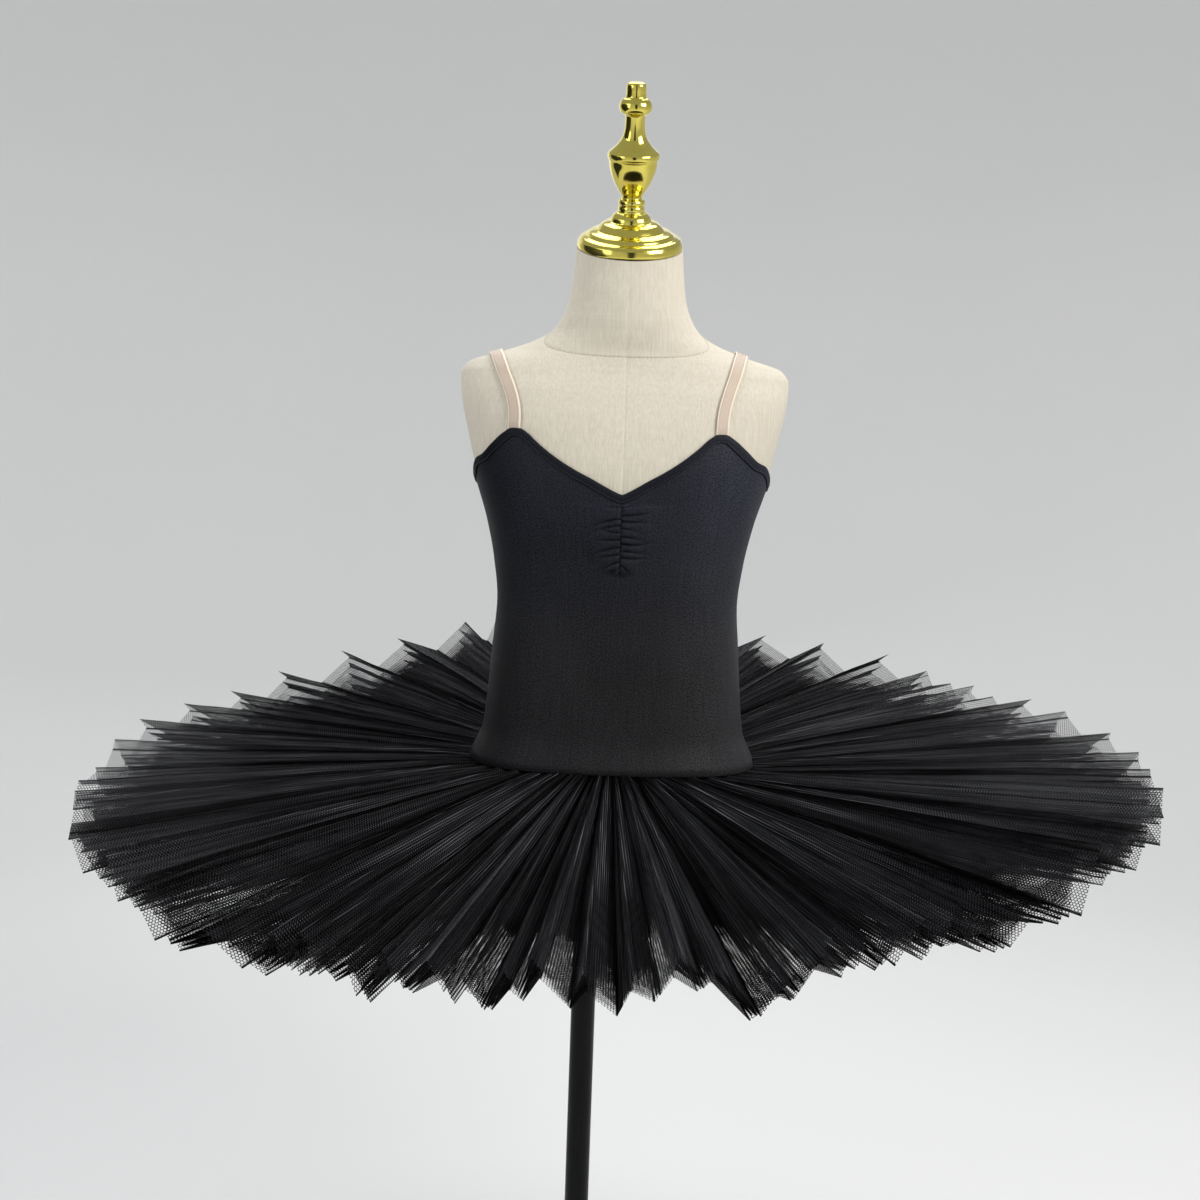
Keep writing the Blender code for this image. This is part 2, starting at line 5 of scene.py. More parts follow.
import bmesh
import bpy
import numpy as np
from mathutils import Matrix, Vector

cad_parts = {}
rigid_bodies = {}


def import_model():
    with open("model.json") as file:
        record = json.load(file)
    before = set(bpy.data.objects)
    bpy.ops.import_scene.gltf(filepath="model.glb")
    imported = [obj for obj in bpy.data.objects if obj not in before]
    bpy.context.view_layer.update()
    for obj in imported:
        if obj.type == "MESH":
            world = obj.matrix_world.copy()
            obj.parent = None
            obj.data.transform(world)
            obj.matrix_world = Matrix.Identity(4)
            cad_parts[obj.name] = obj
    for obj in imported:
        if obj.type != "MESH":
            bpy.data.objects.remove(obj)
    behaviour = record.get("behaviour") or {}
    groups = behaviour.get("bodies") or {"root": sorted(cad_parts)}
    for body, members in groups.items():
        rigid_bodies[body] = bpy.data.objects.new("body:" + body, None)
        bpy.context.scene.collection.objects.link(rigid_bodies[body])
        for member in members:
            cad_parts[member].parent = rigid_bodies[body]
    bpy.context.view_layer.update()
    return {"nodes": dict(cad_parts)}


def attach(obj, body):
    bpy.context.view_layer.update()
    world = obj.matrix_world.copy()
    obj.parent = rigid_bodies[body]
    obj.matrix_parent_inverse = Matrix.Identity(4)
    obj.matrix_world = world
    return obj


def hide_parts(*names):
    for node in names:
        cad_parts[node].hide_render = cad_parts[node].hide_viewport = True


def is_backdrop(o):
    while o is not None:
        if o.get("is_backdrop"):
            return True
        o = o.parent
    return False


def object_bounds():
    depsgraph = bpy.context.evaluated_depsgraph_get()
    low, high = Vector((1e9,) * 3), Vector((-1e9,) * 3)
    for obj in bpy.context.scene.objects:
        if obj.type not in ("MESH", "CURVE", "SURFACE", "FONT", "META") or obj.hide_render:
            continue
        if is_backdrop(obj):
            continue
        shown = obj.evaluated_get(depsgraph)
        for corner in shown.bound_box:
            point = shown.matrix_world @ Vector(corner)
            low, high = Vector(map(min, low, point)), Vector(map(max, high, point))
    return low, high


for leftover in list(bpy.data.objects):
    bpy.data.objects.remove(leftover)
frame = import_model()
print("frame loaded:", len(frame["nodes"]), "nodes")

hipHeight = 0.700      # hip seam above the floor; other heights are measured from it
formBottom = -0.130
formCorner = 0.012     # roundness of the form's lower edge

# Sections of the form: height, half width, half depth, centre y, squareness
bodySections = np.array([
    (formBottom, 0.1080, 0.0850, 0.000, 2.30),
    (-0.075, 0.1160, 0.0900, 0.000, 2.30),
    (-0.030, 0.1155, 0.0890, 0.000, 2.30),
    (0.000, 0.1125, 0.0865, 0.000, 2.30),
    (0.040, 0.1070, 0.0815, 0.000, 2.25),
    (0.100, 0.1020, 0.0755, 0.000, 2.20),
    (0.135, 0.0995, 0.0735, 0.000, 2.20),
    (0.168, 0.1030, 0.0750, 0.000, 2.20),
    (0.202, 0.1100, 0.0780, 0.000, 2.25),
    (0.236, 0.1204, 0.0785, 0.001, 2.35),
    (0.274, 0.1300, 0.0735, 0.003, 2.50),
    (0.305, 0.1365, 0.0650, 0.006, 2.60),
    (0.322, 0.1378, 0.0580, 0.008, 2.50),
    (0.332, 0.1320, 0.0535, 0.008, 2.25),
    (0.341, 0.1050, 0.0500, 0.006, 1.95),
    (0.350, 0.0790, 0.0495, 0.003, 1.85),
    (0.358, 0.0640, 0.0490, 0.001, 1.90),
    (0.366, 0.0565, 0.0475, -0.001, 2.00),
    (0.384, 0.0490, 0.0455, -0.002, 2.00),
    (0.404, 0.0460, 0.0445, -0.003, 2.00),
    (0.429, 0.0440, 0.0440, -0.003, 2.00),
])

# Top edge of the bodice: distance from the centre, height
frontEdge = [
    (0.000, 0.2246), (0.005, 0.2266), (0.012, 0.2302), (0.022, 0.2358), (0.0365, 0.2435),
    (0.050, 0.2520), (0.064, 0.2628), (0.073, 0.2710), (0.079, 0.2745), (0.085, 0.2748),
    (0.092, 0.2712), (0.101, 0.2635), (0.111, 0.2540),
]
backEdge = [
    (0.000, 0.1980), (0.016, 0.1995), (0.031, 0.2055), (0.045, 0.2165), (0.057, 0.2310),
    (0.066, 0.2432), (0.071, 0.2475), (0.077, 0.2475), (0.085, 0.2455), (0.096, 0.2425),
]
sideEdgeHeight = 0.2370


def blend(low, high, share):
    return low + (high - low) * share


def ease(share):
    share = np.clip(share, 0.0, 1.0)
    return share * share * (3 - 2 * share)


def signedPower(value, power):
    return np.sign(value) * np.abs(value) ** power


# A curve through a table's points that never overshoots them
def curveThrough(places, values, at):
    places, values = np.asarray(places, float), np.asarray(values, float)
    steps = np.diff(places)
    slopes = np.diff(values) / steps
    tangents = np.zeros(len(places))
    tangents[0], tangents[-1] = slopes[0], slopes[-1]
    before, after = slopes[:-1], slopes[1:]
    same = before * after > 0
    tangents[1:-1][same] = 2 * before[same] * after[same] / (before[same] + after[same])
    at = np.clip(at, places[0], places[-1])
    k = np.clip(np.searchsorted(places, at, side="right") - 1, 0, len(steps) - 1)
    t = (at - places[k]) / steps[k]
    return (
        values[k] * (1 + 2 * t) * (1 - t) ** 2 + tangents[k] * steps[k] * t * (1 - t) ** 2
        + values[k + 1] * t * t * (3 - 2 * t) + tangents[k + 1] * steps[k] * t * t * (t - 1)
    )


def bodySection(height):
    return [curveThrough(bodySections[:, 0], bodySections[:, column], height) for column in (1, 2, 3, 4)]


# Points on the form, moved out level. Angle 0 is the front and 90 degrees is +X
def bodyPoint(angle, height, out=0.0):
    angle, height, out = np.broadcast_arrays(angle, height, out)
    halfWidth, halfDepth, centreY, squareness = bodySection(height)
    side = signedPower(np.sin(angle), 2 / squareness)
    front = signedPower(np.cos(angle), 2 / squareness)
    normalX = signedPower(side, squareness - 1) / halfWidth
    normalY = -signedPower(front, squareness - 1) / halfDepth
    length = np.hypot(normalX, normalY)
    x = halfWidth * side + out * normalX / length
    y = centreY - halfDepth * front + out * normalY / length
    return np.stack([x, y, height + hipHeight], axis=-1)


def angleAt(across, height):
    halfWidth, _, _, squareness = bodySection(height)
    return np.arcsin((across / halfWidth) ** (squareness / 2))


# Below 1 inside the form and above 1 outside it, with z from the hip seam
def fullness(x, y, z):
    halfWidth, halfDepth, centreY, squareness = bodySection(z)
    return np.abs(x / halfWidth) ** squareness + np.abs((y - centreY) / halfDepth) ** squareness


# Meshes, and pieces that ride on the stand

# A surface through rows of points, with a UV map in metres along the rows and up them
def surfaceMesh(name, points, closed=False):
    rows, columns = points.shape[:2]
    around = np.arange(columns + 1 if closed else columns)
    ids = np.arange(rows)[:, None] * columns + around[None, :] % columns
    spread = points[:, around % columns]
    along = np.linalg.norm(np.diff(spread, axis=1), axis=2).mean(axis=0)
    up = np.linalg.norm(np.diff(spread, axis=0), axis=2).mean(axis=1)
    u = np.concatenate([[0], np.cumsum(along)])
    v = np.concatenate([[0], np.cumsum(up)])
    uv = np.stack(np.broadcast_arrays(u[None, :], v[:, None]), axis=-1)

    def corners(grid):
        return np.stack([grid[:-1, :-1], grid[:-1, 1:], grid[1:, 1:], grid[1:, :-1]], axis=2)

    mesh = bpy.data.meshes.new(name)
    mesh.from_pydata(points.reshape(-1, 3).tolist(), [], corners(ids).reshape(-1, 4).tolist())
    mesh.uv_layers.new(name="cut").data.foreach_set("uv", corners(uv).astype(np.float32).ravel())
    mesh.shade_smooth()
    return mesh


# A closed shell turned round a vertical line, from (radius, height) points
def turnedMesh(name, profile, centre, steps):
    angles = np.linspace(0, 2 * np.pi, steps, endpoint=False)
    profile = np.array(profile)
    rings = np.stack(np.broadcast_arrays(
        centre[0] + profile[:, :1] * np.cos(angles),
        centre[1] + profile[:, :1] * np.sin(angles),
        centre[2] + profile[:, 1:2] + 0 * angles,
    ), axis=-1)
    mesh = surfaceMesh(name, rings, closed=True)
    weld(mesh)
    return mesh


# Joins a mesh's doubled points, and keeps its edges sharp from so many degrees
def weld(mesh, sharpFrom=38):
    shell = bmesh.new()
    shell.from_mesh(mesh)
    bmesh.ops.remove_doubles(shell, verts=shell.verts, dist=1e-6)
    bmesh.ops.recalc_face_normals(shell, faces=shell.faces)
    shell.to_mesh(mesh)
    shell.free()
    mesh.set_sharp_from_angle(angle=math.radians(sharpFrom))


def addPiece(name, mesh, finish, stands=()):
    piece = bpy.data.objects.new(name, mesh)
    bpy.context.collection.objects.link(piece)
    mesh.materials.clear()
    mesh.materials.append(finish)
    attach(piece, "root")
    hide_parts(*stands)
    return piece


def addWall(piece, thickness, offset=1.0):
    wall = piece.modifiers.new("wall", "SOLIDIFY")
    wall.thickness = thickness
    wall.offset = offset


# Nodes for materials and for geometry

def liveSocket(sockets, name):
    return next(s for s in sockets if s.enabled and (s.name == name or s.identifier == name))


def put(tree, socket, value):
    if isinstance(value, bpy.types.NodeSocket):
        tree.links.new(value, socket)
    else:
        socket.default_value = value


def addNode(tree, kind, options=None, **inputs):
    node = tree.nodes.new(kind)
    for key, value in (options or {}).items():
        setattr(node, key, value)
    for key, value in inputs.items():
        put(tree, liveSocket(node.inputs, key.replace("_", " ")), value)
    return node


# A new node's first output
def outOf(tree, kind, options=None, **inputs):
    return addNode(tree, kind, options, **inputs).outputs[0]


def maths(tree, operation, *values, clamp=False):
    node = addNode(tree, "ShaderNodeMath", {"operation": operation, "use_clamp": clamp})
    for socket, value in zip(node.inputs, values):
        put(tree, socket, value)
    return node.outputs[0]


def plus(tree, value, *others):
    for other in others:
        value = maths(tree, "ADD", value, other)
    return value


def minus(tree, value, *others):
    for other in others:
        value = maths(tree, "SUBTRACT", value, other)
    return value


def times(tree, value, *others):
    for other in others:
        value = maths(tree, "MULTIPLY", value, other)
    return value


# A wave that comes round once in every length
def wave(tree, value, length, operation="SINE"):
    return maths(tree, operation, times(tree, maths(tree, "DIVIDE", value, length), 2 * math.pi))


def vectorMaths(tree, operation, *values, result="Vector"):
    node = addNode(tree, "ShaderNodeVectorMath", {"operation": operation})
    for socket, value in zip(node.inputs, values):
        put(tree, socket, value)
    return node.outputs[result]


def scaled(tree, vector, scale):
    node = addNode(tree, "ShaderNodeVectorMath", {"operation": "SCALE"}, Scale=scale)
    put(tree, node.inputs[0], vector)
    return node.outputs[0]


def axesOf(tree, vector):
    return addNode(tree, "ShaderNodeSeparateXYZ", Vector=vector).outputs


def fromAxes(tree, **axes):
    return outOf(tree, "ShaderNodeCombineXYZ", **axes)


# A value carried from one range to another
def ranged(tree, value, fromLow, fromHigh, toLow=0.0, toHigh=1.0, smooth=False):
    return outOf(
        tree, "ShaderNodeMapRange", {"interpolation_type": "SMOOTHSTEP" if smooth else "LINEAR"},
        Value=value, From_Min=fromLow, From_Max=fromHigh, To_Min=toLow, To_Max=toHigh,
    )


def mixed(tree, share, a, b, kind="FLOAT"):
    node = addNode(tree, "ShaderNodeMix", {"data_type": kind}, Factor=share, A=a, B=b)
    return liveSocket(node.outputs, "Result")


def noise(tree, vector, scale, detail=2.0, roughness=0.5):
    return outOf(tree, "ShaderNodeTexNoise", Vector=vector, Scale=scale, Detail=detail, Roughness=roughness)


# Noise with its own scale on each axis
def streaks(tree, vector, scales, detail=2.0, roughness=0.5):
    return noise(tree, outOf(tree, "ShaderNodeMapping", Vector=vector, Scale=scales), 1.0, detail, roughness)


def newGroup(name, inputs, outputs, kind="ShaderNodeTree"):
    tree = bpy.data.node_groups.new(name, kind)
    for way, sockets in (("INPUT", inputs), ("OUTPUT", outputs)):
        for label, socketKind, *value in sockets:
            socket = tree.interface.new_socket(label, in_out=way, socket_type="NodeSocket" + socketKind)
            if value:
                socket.default_value = value[0]
    given = tree.nodes.new("NodeGroupInput").outputs
    result = tree.nodes.new("NodeGroupOutput").inputs
    return tree, given, result


def useGroup(tree, group, **inputs):
    node = tree.nodes.new("ShaderNodeGroup")
    node.node_tree = group
    for key, value in inputs.items():
        put(tree, node.inputs[key], value)
    return node.outputs


hexRow = 0.8660254   # height of a row of six-sided cells, as a share of a cell


# Six-sided holes between threads. Cover is the same net with its holes closed up by a share
def makeHexNet():
    tree, given, result = newGroup(
        "hexNet",
        [("Vector", "Vector"), ("Cell", "Float", 0.002), ("Thread", "Float", 0.0003), ("Closing", "Float")],
        [("Mask", "Float"), ("Cover", "Float")],
    )
    size, half = (1.0, 2 * hexRow, 1.0), (0.5, hexRow, 0.0)
    cells = scaled(tree, given["Vector"], maths(tree, "DIVIDE", 1.0, given["Cell"]))
    first = vectorMaths(tree, "SUBTRACT", vectorMaths(tree, "MODULO", cells, size), half)
    shifted = vectorMaths(tree, "ADD", cells, half)
    second = vectorMaths(tree, "SUBTRACT", vectorMaths(tree, "MODULO", shifted, size), half)
    further = maths(
        tree, "GREATER_THAN",
        vectorMaths(tree, "DOT_PRODUCT", first, first, result="Value"),
        vectorMaths(tree, "DOT_PRODUCT", second, second, result="Value"),
    )
    place = vectorMaths(tree, "ABSOLUTE", mixed(tree, further, first, second, "VECTOR"))
    slanted = vectorMaths(tree, "DOT_PRODUCT", place, half, result="Value")
    reach = maths(tree, "MAXIMUM", slanted, axesOf(tree, place)[0])
    thread = maths(tree, "DIVIDE", maths(tree, "DIVIDE", given["Thread"], 2.0), given["Cell"])
    edge = minus(tree, 0.5, thread)
    closed = mixed(tree, given["Closing"], edge, -0.05)
    for name, level in (("Mask", edge), ("Cover", closed)):
        put(tree, result[name], ranged(tree, reach, minus(tree, level, 0.02), plus(tree, level, 0.02)))
    return tree


# Knitted cloth: upright wales, a fine grain and slow changes of tone
def makeKnit():
    tree, given, result = newGroup(
        "knit", [("Vector", "Vector"), ("Wale", "Float", 0.0008), ("Grain", "Float", 1.0)],
        [("Tone", "Float"), ("Height", "Float")],
    )
    place = axesOf(tree, given["Vector"])
    wales, loops = (wave(tree, place[i], given["Wale"]) for i in (0, 1))
    upright = ranged(tree, streaks(tree, given["Vector"], (700.0, 30.0, 1.0), 3.0), 0.3, 0.7)
    grain = ranged(tree, noise(tree, given["Vector"], 760.0, 2.0, 0.8), 0.38, 0.62)
    slow = ranged(tree, noise(tree, given["Vector"], 9.0), 0.3, 0.7)
    tone = plus(
        tree, times(tree, upright, 0.20), times(tree, slow, 0.15), times(tree, grain, given["Grain"], 0.65),
    )
    put(tree, result["Tone"], tone)
    put(tree, result["Height"], plus(tree, times(tree, wales, 0.3), times(tree, loops, 0.15), grain))
    return tree


# Plain weave with thick slubs, mostly upright
def makeSlubWeave():
    tree, given, result = newGroup(
        "slubWeave", [("Vector", "Vector"), ("Thread", "Float", 0.0006), ("Slubs", "Float", 0.6)],
        [("Tone", "Float"), ("Height", "Float")],
    )
    slubs = ranged(tree, streaks(tree, given["Vector"], (640.0, 640.0, 26.0), 4.0, 0.62), 0.30, 0.72)
    broad = streaks(tree, given["Vector"], (150.0, 150.0, 14.0))
    level = streaks(tree, given["Vector"], (30.0, 30.0, 800.0), 3.0, 0.6)
    tone = plus(tree, times(tree, slubs, given["Slubs"]), times(tree, level, 0.30), times(tree, broad, 0.15))
    place = axesOf(tree, given["Vector"])
    across, up = (wave(tree, place[i], given["Thread"]) for i in (0, 2))
    put(tree, result["Tone"], tone)
    put(tree, result["Height"], plus(tree, times(tree, across, up, 0.35), slubs))
    return tree


# Specks of lint, and faint handling marks
def makeLint():
    tree, given, result = newGroup(
        "lint", [("Vector", "Vector"), ("Amount", "Float", 0.5)], [("Specks", "Float"), ("Marks", "Float")],
    )
    dots = outOf(tree, "ShaderNodeTexVoronoi", Vector=given["Vector"], Scale=120.0, Randomness=1.0)
    put(tree, result["Specks"], times(tree, ranged(tree, dots, 0.05, 0.02), given["Amount"]))
    put(tree, result["Marks"], ranged(tree, noise(tree, given["Vector"], 14.0, 5.0, 0.6), 0.35, 0.7))
    return tree


hexNet, knit, slubWeave, lint = makeHexNet(), makeKnit(), makeSlubWeave(), makeLint()


def newMaterial(name, roughness, **settings):
    made = bpy.data.materials.new(name)
    made.use_nodes = True
    tree = made.node_tree
    shader = tree.nodes["Principled BSDF"]
    shader.inputs["Roughness"].default_value = roughness
    for key, value in settings.items():
        shader.inputs[key.replace("_", " ")].default_value = value
    return made, tree, shader.inputs


def uvPlace(tree, name="cut"):
    return outOf(tree, "ShaderNodeUVMap", {"uv_map": name})


def objectPlace(tree):
    return tree.nodes.new("ShaderNodeTexCoord").outputs["Object"]


def bump(tree, height, distance, strength=1.0):
    return outOf(tree, "ShaderNodeBump", Height=height, Distance=distance, Strength=strength)


def blended(tree, share, first, second):
    return mixed(tree, share, first, second, "RGBA")


def toned(tree, share, dark, light):
    return blended(tree, share, (*dark, 1.0), (*light, 1.0))


# The two sides are ranges of four: from, to, and the values at both. The shaded side is painted shade towards
# -X, the lit side a painted highlight towards +X
jersey = {
    "sheen": 0.012,
    "sheenTint": (0.72, 0.78, 1.0, 1.0),
    "specular": 0.08,
    "plain": (1.0, 1.0, 1.0, 1.0),
    "cool": (0.94, 1.03, 1.30, 1.0),
    "coolHeights": (hipHeight + 0.08, hipHeight + 0.22),
    "shadedSide": (-0.125, -0.065, 0.50, 0.95),
    "litSide": (0.030, 0.120, 1.0, 1.9),
    "lint": 0.16,
    "lintColour": (0.16, 0.16, 0.18, 1.0),
    "knitDepth": 0.00006,
    "worn": (0.04, 0.06),   # how much smoother and rougher the handling marks make it
}


def jerseyMaterial(name, dark, light, roughness):
    made, tree, sockets = newMaterial(
        name, roughness, Sheen_Weight=jersey["sheen"], Sheen_Roughness=0.4, Sheen_Tint=jersey["sheenTint"],
        Specular_IOR_Level=jersey["specular"],
    )
    cloth = useGroup(tree, knit, Vector=uvPlace(tree))
    marks = useGroup(tree, lint, Vector=objectPlace(tree), Amount=jersey["lint"])
    x, _, z = axesOf(tree, objectPlace(tree))
    # Painted highlight: the cloth turns bluer and a little brighter from above the hip up to the chest
    tint = blended(tree, ranged(tree, z, *jersey["coolHeights"]), jersey["plain"], jersey["cool"])
    colour = blended(tree, 1.0, toned(tree, cloth["Tone"], dark, light), tint)
    colour.node.blend_type = "MULTIPLY"
    # Painted shade towards -X and painted highlight towards +X
    sides = (ranged(tree, x, *jersey[side], smooth=True) for side in ("shadedSide", "litSide"))
    colour = scaled(tree, colour, times(tree, *sides))
    put(tree, sockets["Base Color"], blended(tree, marks["Specks"], colour, jersey["lintColour"]))
    smoother, rougher = roughness - jersey["worn"][0], roughness + jersey["worn"][1]
    put(tree, sockets["Roughness"], ranged(tree, marks["Marks"], 0.0, 1.0, smoother, rougher))
    put(tree, sockets["Normal"], bump(tree, cloth["Height"], jersey["knitDepth"], 0.6))
    return made


def netMaterial(name, threads):
    made, tree, sockets = newMaterial(name, threads["roughness"])
    cut, weave, fold = uvPlace(tree), uvPlace(tree, "weave"), uvPlace(tree, "fold")
    along, out, _ = axesOf(tree, fold)
    y = axesOf(tree, objectPlace(tree))[1]
    panel = outOf(tree, "ShaderNodeTexWhiteNoise", {"noise_dimensions": "1D"}, W=maths(tree, "FLOOR", along))
    fromFold = maths(tree, "PINGPONG", along, 0.5)
    crease = ranged(tree, fromFold, threads["crease"], threads["crease"] * 0.5)
    # Holes close up towards the hip, at the front and back, and where the net is seen edge on
    depth = plus(tree, out, times(tree, minus(tree, panel, 0.5), threads["vary"]))
    closer = [ranged(tree, y, *threads[part]) for part in ("frontClosed", "backClosed")]
    depth = minus(tree, depth, *closer)
    closing = ranged(tree, depth, threads["solidUntil"], threads["openFrom"], 1.0, threads["body"])
    facing = tree.nodes.new("ShaderNodeLayerWeight").outputs["Facing"]
    closing = maths(tree, "ADD", closing, ranged(tree, facing, *threads["edgeOn"]), clamp=True)
    # Rows of threads run outwards, a little uneven
    rowStep = threads["cell"] * hexRow
    swerve = minus(tree, streaks(tree, cut, threads["swerveNoise"]), 0.5)
    weaveX, weaveY, _ = axesOf(tree, weave)
    rowPlace = maths(tree, "MULTIPLY_ADD", swerve, threads["swerve"] * rowStep, weaveX)
    mesh = useGroup(
        tree, hexNet, Vector=fromAxes(tree, X=weaveY, Y=rowPlace), Cell=threads["cell"],
        Thread=threads["thread"], Closing=closing,
    )
    put(tree, sockets["Alpha"], maths(tree, "MAXIMUM", mesh["Cover"], crease))
    # Ribs where the rows are folded close
    rows = wave(tree, rowPlace, rowStep, "COSINE")
    broad = ranged(tree, streaks(tree, cut, threads["broadNoise"]), 0.40, 0.60)
    fine = ranged(tree, streaks(tree, weave, threads["fineNoise"], 2.0, 0.6), 0.35, 0.62)
    ribs = times(
        tree, ranged(tree, rows, 0.35, 1.0, smooth=True), maths(tree, "MULTIPLY_ADD", fine, 0.60, 0.40),
        maths(tree, "MULTIPLY_ADD", broad, 0.70, 0.30),
    )
    # Brighter towards the edge and on the raised folds, darker at the front and back: painted shade in the
    # fold valleys and towards the front and back
    base = times(
        # Painted shade: the base tone darker towards the front
        tree, ranged(tree, out, 0.1, 1.0, *threads["tones"]), ranged(tree, y, *threads["frontBase"]),
    )
    colour = toned(tree, plus(tree, ribs, base), threads["dark"], threads["light"])
    # The lift stored on the folds drives painted shade in their valleys
    raised = addNode(tree, "ShaderNodeAttribute", {"attribute_name": "raised"}).outputs["Fac"]
    shade = times(
        tree, ranged(tree, raised, *threads["foldShade"]),
        ranged(tree, streaks(tree, cut, threads["streakNoise"]), *threads["streakShade"]),
        # Painted shade towards the front and back
        ranged(tree, y, *threads["frontTone"]), ranged(tree, y, *threads["backTone"]),
    )
    shown = maths(tree, "MAXIMUM", mesh["Mask"], times(tree, ribs, ranged(tree, y, *threads["ribsShown"])))
    light = times(tree, shown, shade)
    put(tree, sockets["Base Color"], scaled(tree, colour, light))
    put(tree, sockets["Specular IOR Level"], ranged(tree, light, 0.0, 1.0, 0.0, threads["specular"]))
    relief = plus(tree, times(tree, rows, broad), times(tree, mesh["Mask"], 0.6))
    put(tree, sockets["Normal"], bump(tree, relief, threads["relief"]))
    return made


elastic = {
    "dark": (0.50, 0.395, 0.305),
    "light": (0.69, 0.575, 0.465),
    "edge": (0.00125, 0.00075),     # from and to, in from the side
    "edgeColour": (0.86, 0.74, 0.60, 1.0),
    "groovePlace": 0.0015,
    "groove": (0.0004, 0.0001),
    "grooveColour": (0.36, 0.25, 0.18, 1.0),
    "rib": 0.00115,
    "thread": 0.0007,
    "relief": 0.0001,
}
linen = {
    "thread": 0.0007,
    "slubs": 0.50,
    "lint": 0.25,
    "dark": (0.575, 0.52, 0.415),
    "light": (0.80, 0.745, 0.625),
    "lintColour": (0.30, 0.24, 0.17, 1.0),
    "handled": 0.10,
    "handledColour": (0.58, 0.50, 0.38, 1.0),
    "relief": 0.00022,
}
plating = {
    "dark": (0.70, 0.58, 0.10),
    "light": (0.80, 0.70, 0.17),
    "clouds": 55.0,
    "roughness": (0.07, 0.16),
    "relief": 0.0003,
}
enamel = {
    "dark": (0.0030, 0.0030, 0.0036),
    "light": (0.011, 0.011, 0.013),     # in its fine upright scratches
    "scratches": (900.0, 900.0, 30.0),
    "lintColour": (0.1, 0.1, 0.1, 1.0),
    "roughness": (0.26, 0.44),
    "peel": 700.0,
    "relief": 0.0001,
}


def elasticMaterial():
    made, tree, sockets = newMaterial("nudeElastic", 0.5, Sheen_Weight=0.1, Specular_IOR_Level=0.4)
    cut = uvPlace(tree)
    across, up, _ = axesOf(tree, cut)
    fromEdge = maths(tree, "PINGPONG", across, strap["width"] / 2)
    edge = ranged(tree, fromEdge, *elastic["edge"])
    fromGroove = maths(tree, "ABSOLUTE", minus(tree, fromEdge, elastic["groovePlace"]))
    groove = ranged(tree, fromGroove, *elastic["groove"])
    ribs, threads = wave(tree, across, elastic["rib"]), wave(tree, up, elastic["thread"])
    grain = streaks(tree, cut, (1500.0, 300.0, 1.0))
    share = plus(tree, times(tree, grain, 0.7), times(tree, ribs, 0.08))
    colour = toned(tree, share, elastic["dark"], elastic["light"])
    colour = blended(tree, edge, colour, elastic["edgeColour"])
    colour = blended(tree, times(tree, groove, 0.5), colour, elastic["grooveColour"])
    put(tree, sockets["Base Color"], colour)
    height = plus(tree, times(tree, ribs, 0.5), times(tree, threads, 0.25))
    put(tree, sockets["Normal"], bump(tree, minus(tree, height, groove), elastic["relief"], 0.8))
    return made


def linenMaterial():
    made, tree, sockets = newMaterial("creamLinen", 0.82, Sheen_Weight=0.08, Specular_IOR_Level=0.25)
    cloth = useGroup(
        tree, slubWeave, Vector=objectPlace(tree), Thread=linen["thread"], Slubs=linen["slubs"],
    )
    marks = useGroup(tree, lint, Vector=objectPlace(tree), Amount=linen["lint"])
    colour = toned(tree, cloth["Tone"], linen["dark"], linen["light"])
    colour = blended(tree, marks["Specks"], colour, linen["lintColour"])
    handled = times(tree, marks["Marks"], linen["handled"])
    put(tree, sockets["Base Color"], blended(tree, handled, colour, linen["handledColour"]))
    put(tree, sockets["Normal"], bump(tree, cloth["Height"], linen["relief"], 0.7))
    return made


def goldMaterial():
    made, tree, sockets = newMaterial("platedGold", 0.12, Metallic=1.0)
    marks = useGroup(tree, lint, Vector=objectPlace(tree), Amount=0.3)
    clouds = noise(tree, objectPlace(tree), plating["clouds"], 3.0)
    put(tree, sockets["Base Color"], toned(tree, clouds, plating["dark"], plating["light"]))
    handled = ranged(tree, marks["Marks"], 0.0, 1.0, *plating["roughness"])
    put(tree, sockets["Roughness"], plus(tree, handled, marks["Specks"]))
    put(tree, sockets["Normal"], bump(tree, clouds, plating["relief"], 0.25))
    return made


def paintMaterial():
    made, tree, sockets = newMaterial("blackPaint", 0.35, Specular_IOR_Level=0.12)
    marks = useGroup(tree, lint, Vector=objectPlace(tree), Amount=0.3)
    peel = noise(tree, objectPlace(tree), enamel["peel"])
    scratches = ranged(tree, streaks(tree, objectPlace(tree), enamel["scratches"], 3.0, 0.6), 0.55, 0.75)
    colour = toned(tree, scratches, enamel["dark"], enamel["light"])
    put(tree, sockets["Base Color"], blended(tree, marks["Specks"], colour, enamel["lintColour"]))
    put(tree, sockets["Roughness"], ranged(tree, marks["Marks"], 0.0, 1.0, *enamel["roughness"]))
    put(tree, sockets["Normal"], bump(tree, peel, enamel["relief"], 0.4))
    return made


def threadMaterial(name, dark, light):
    made, tree, sockets = newMaterial(name, 0.6, Sheen_Weight=0.2)
    ply = streaks(tree, objectPlace(tree), (1400.0, 1400.0, 2600.0))
    put(tree, sockets["Base Color"], toned(tree, ply, dark, light))
    put(tree, sockets["Normal"], bump(tree, ply, 0.0001, 0.5))
    return made


# Geometry node trees

# Runs a tree on a mesh and keeps the result as a plain mesh
def grown(tree, name, source, **values):
    holder = bpy.data.objects.new(name, source)
    bpy.context.collection.objects.link(holder)
    modifier = holder.modifiers.new(tree.name, "NODES")
    modifier.node_group = tree
    for item in tree.interface.items_tree:
        key = item.name.replace(" ", "")
        key = key[0].lower() + key[1:]
        if item.in_out == "INPUT" and key in values:
            modifier[item.identifier] = values[key]
    graph = bpy.context.evaluated_depsgraph_get()
    mesh = bpy.data.meshes.new_from_object(holder.evaluated_get(graph))
    bpy.data.objects.remove(holder)
    mesh.name = name
    return mesh


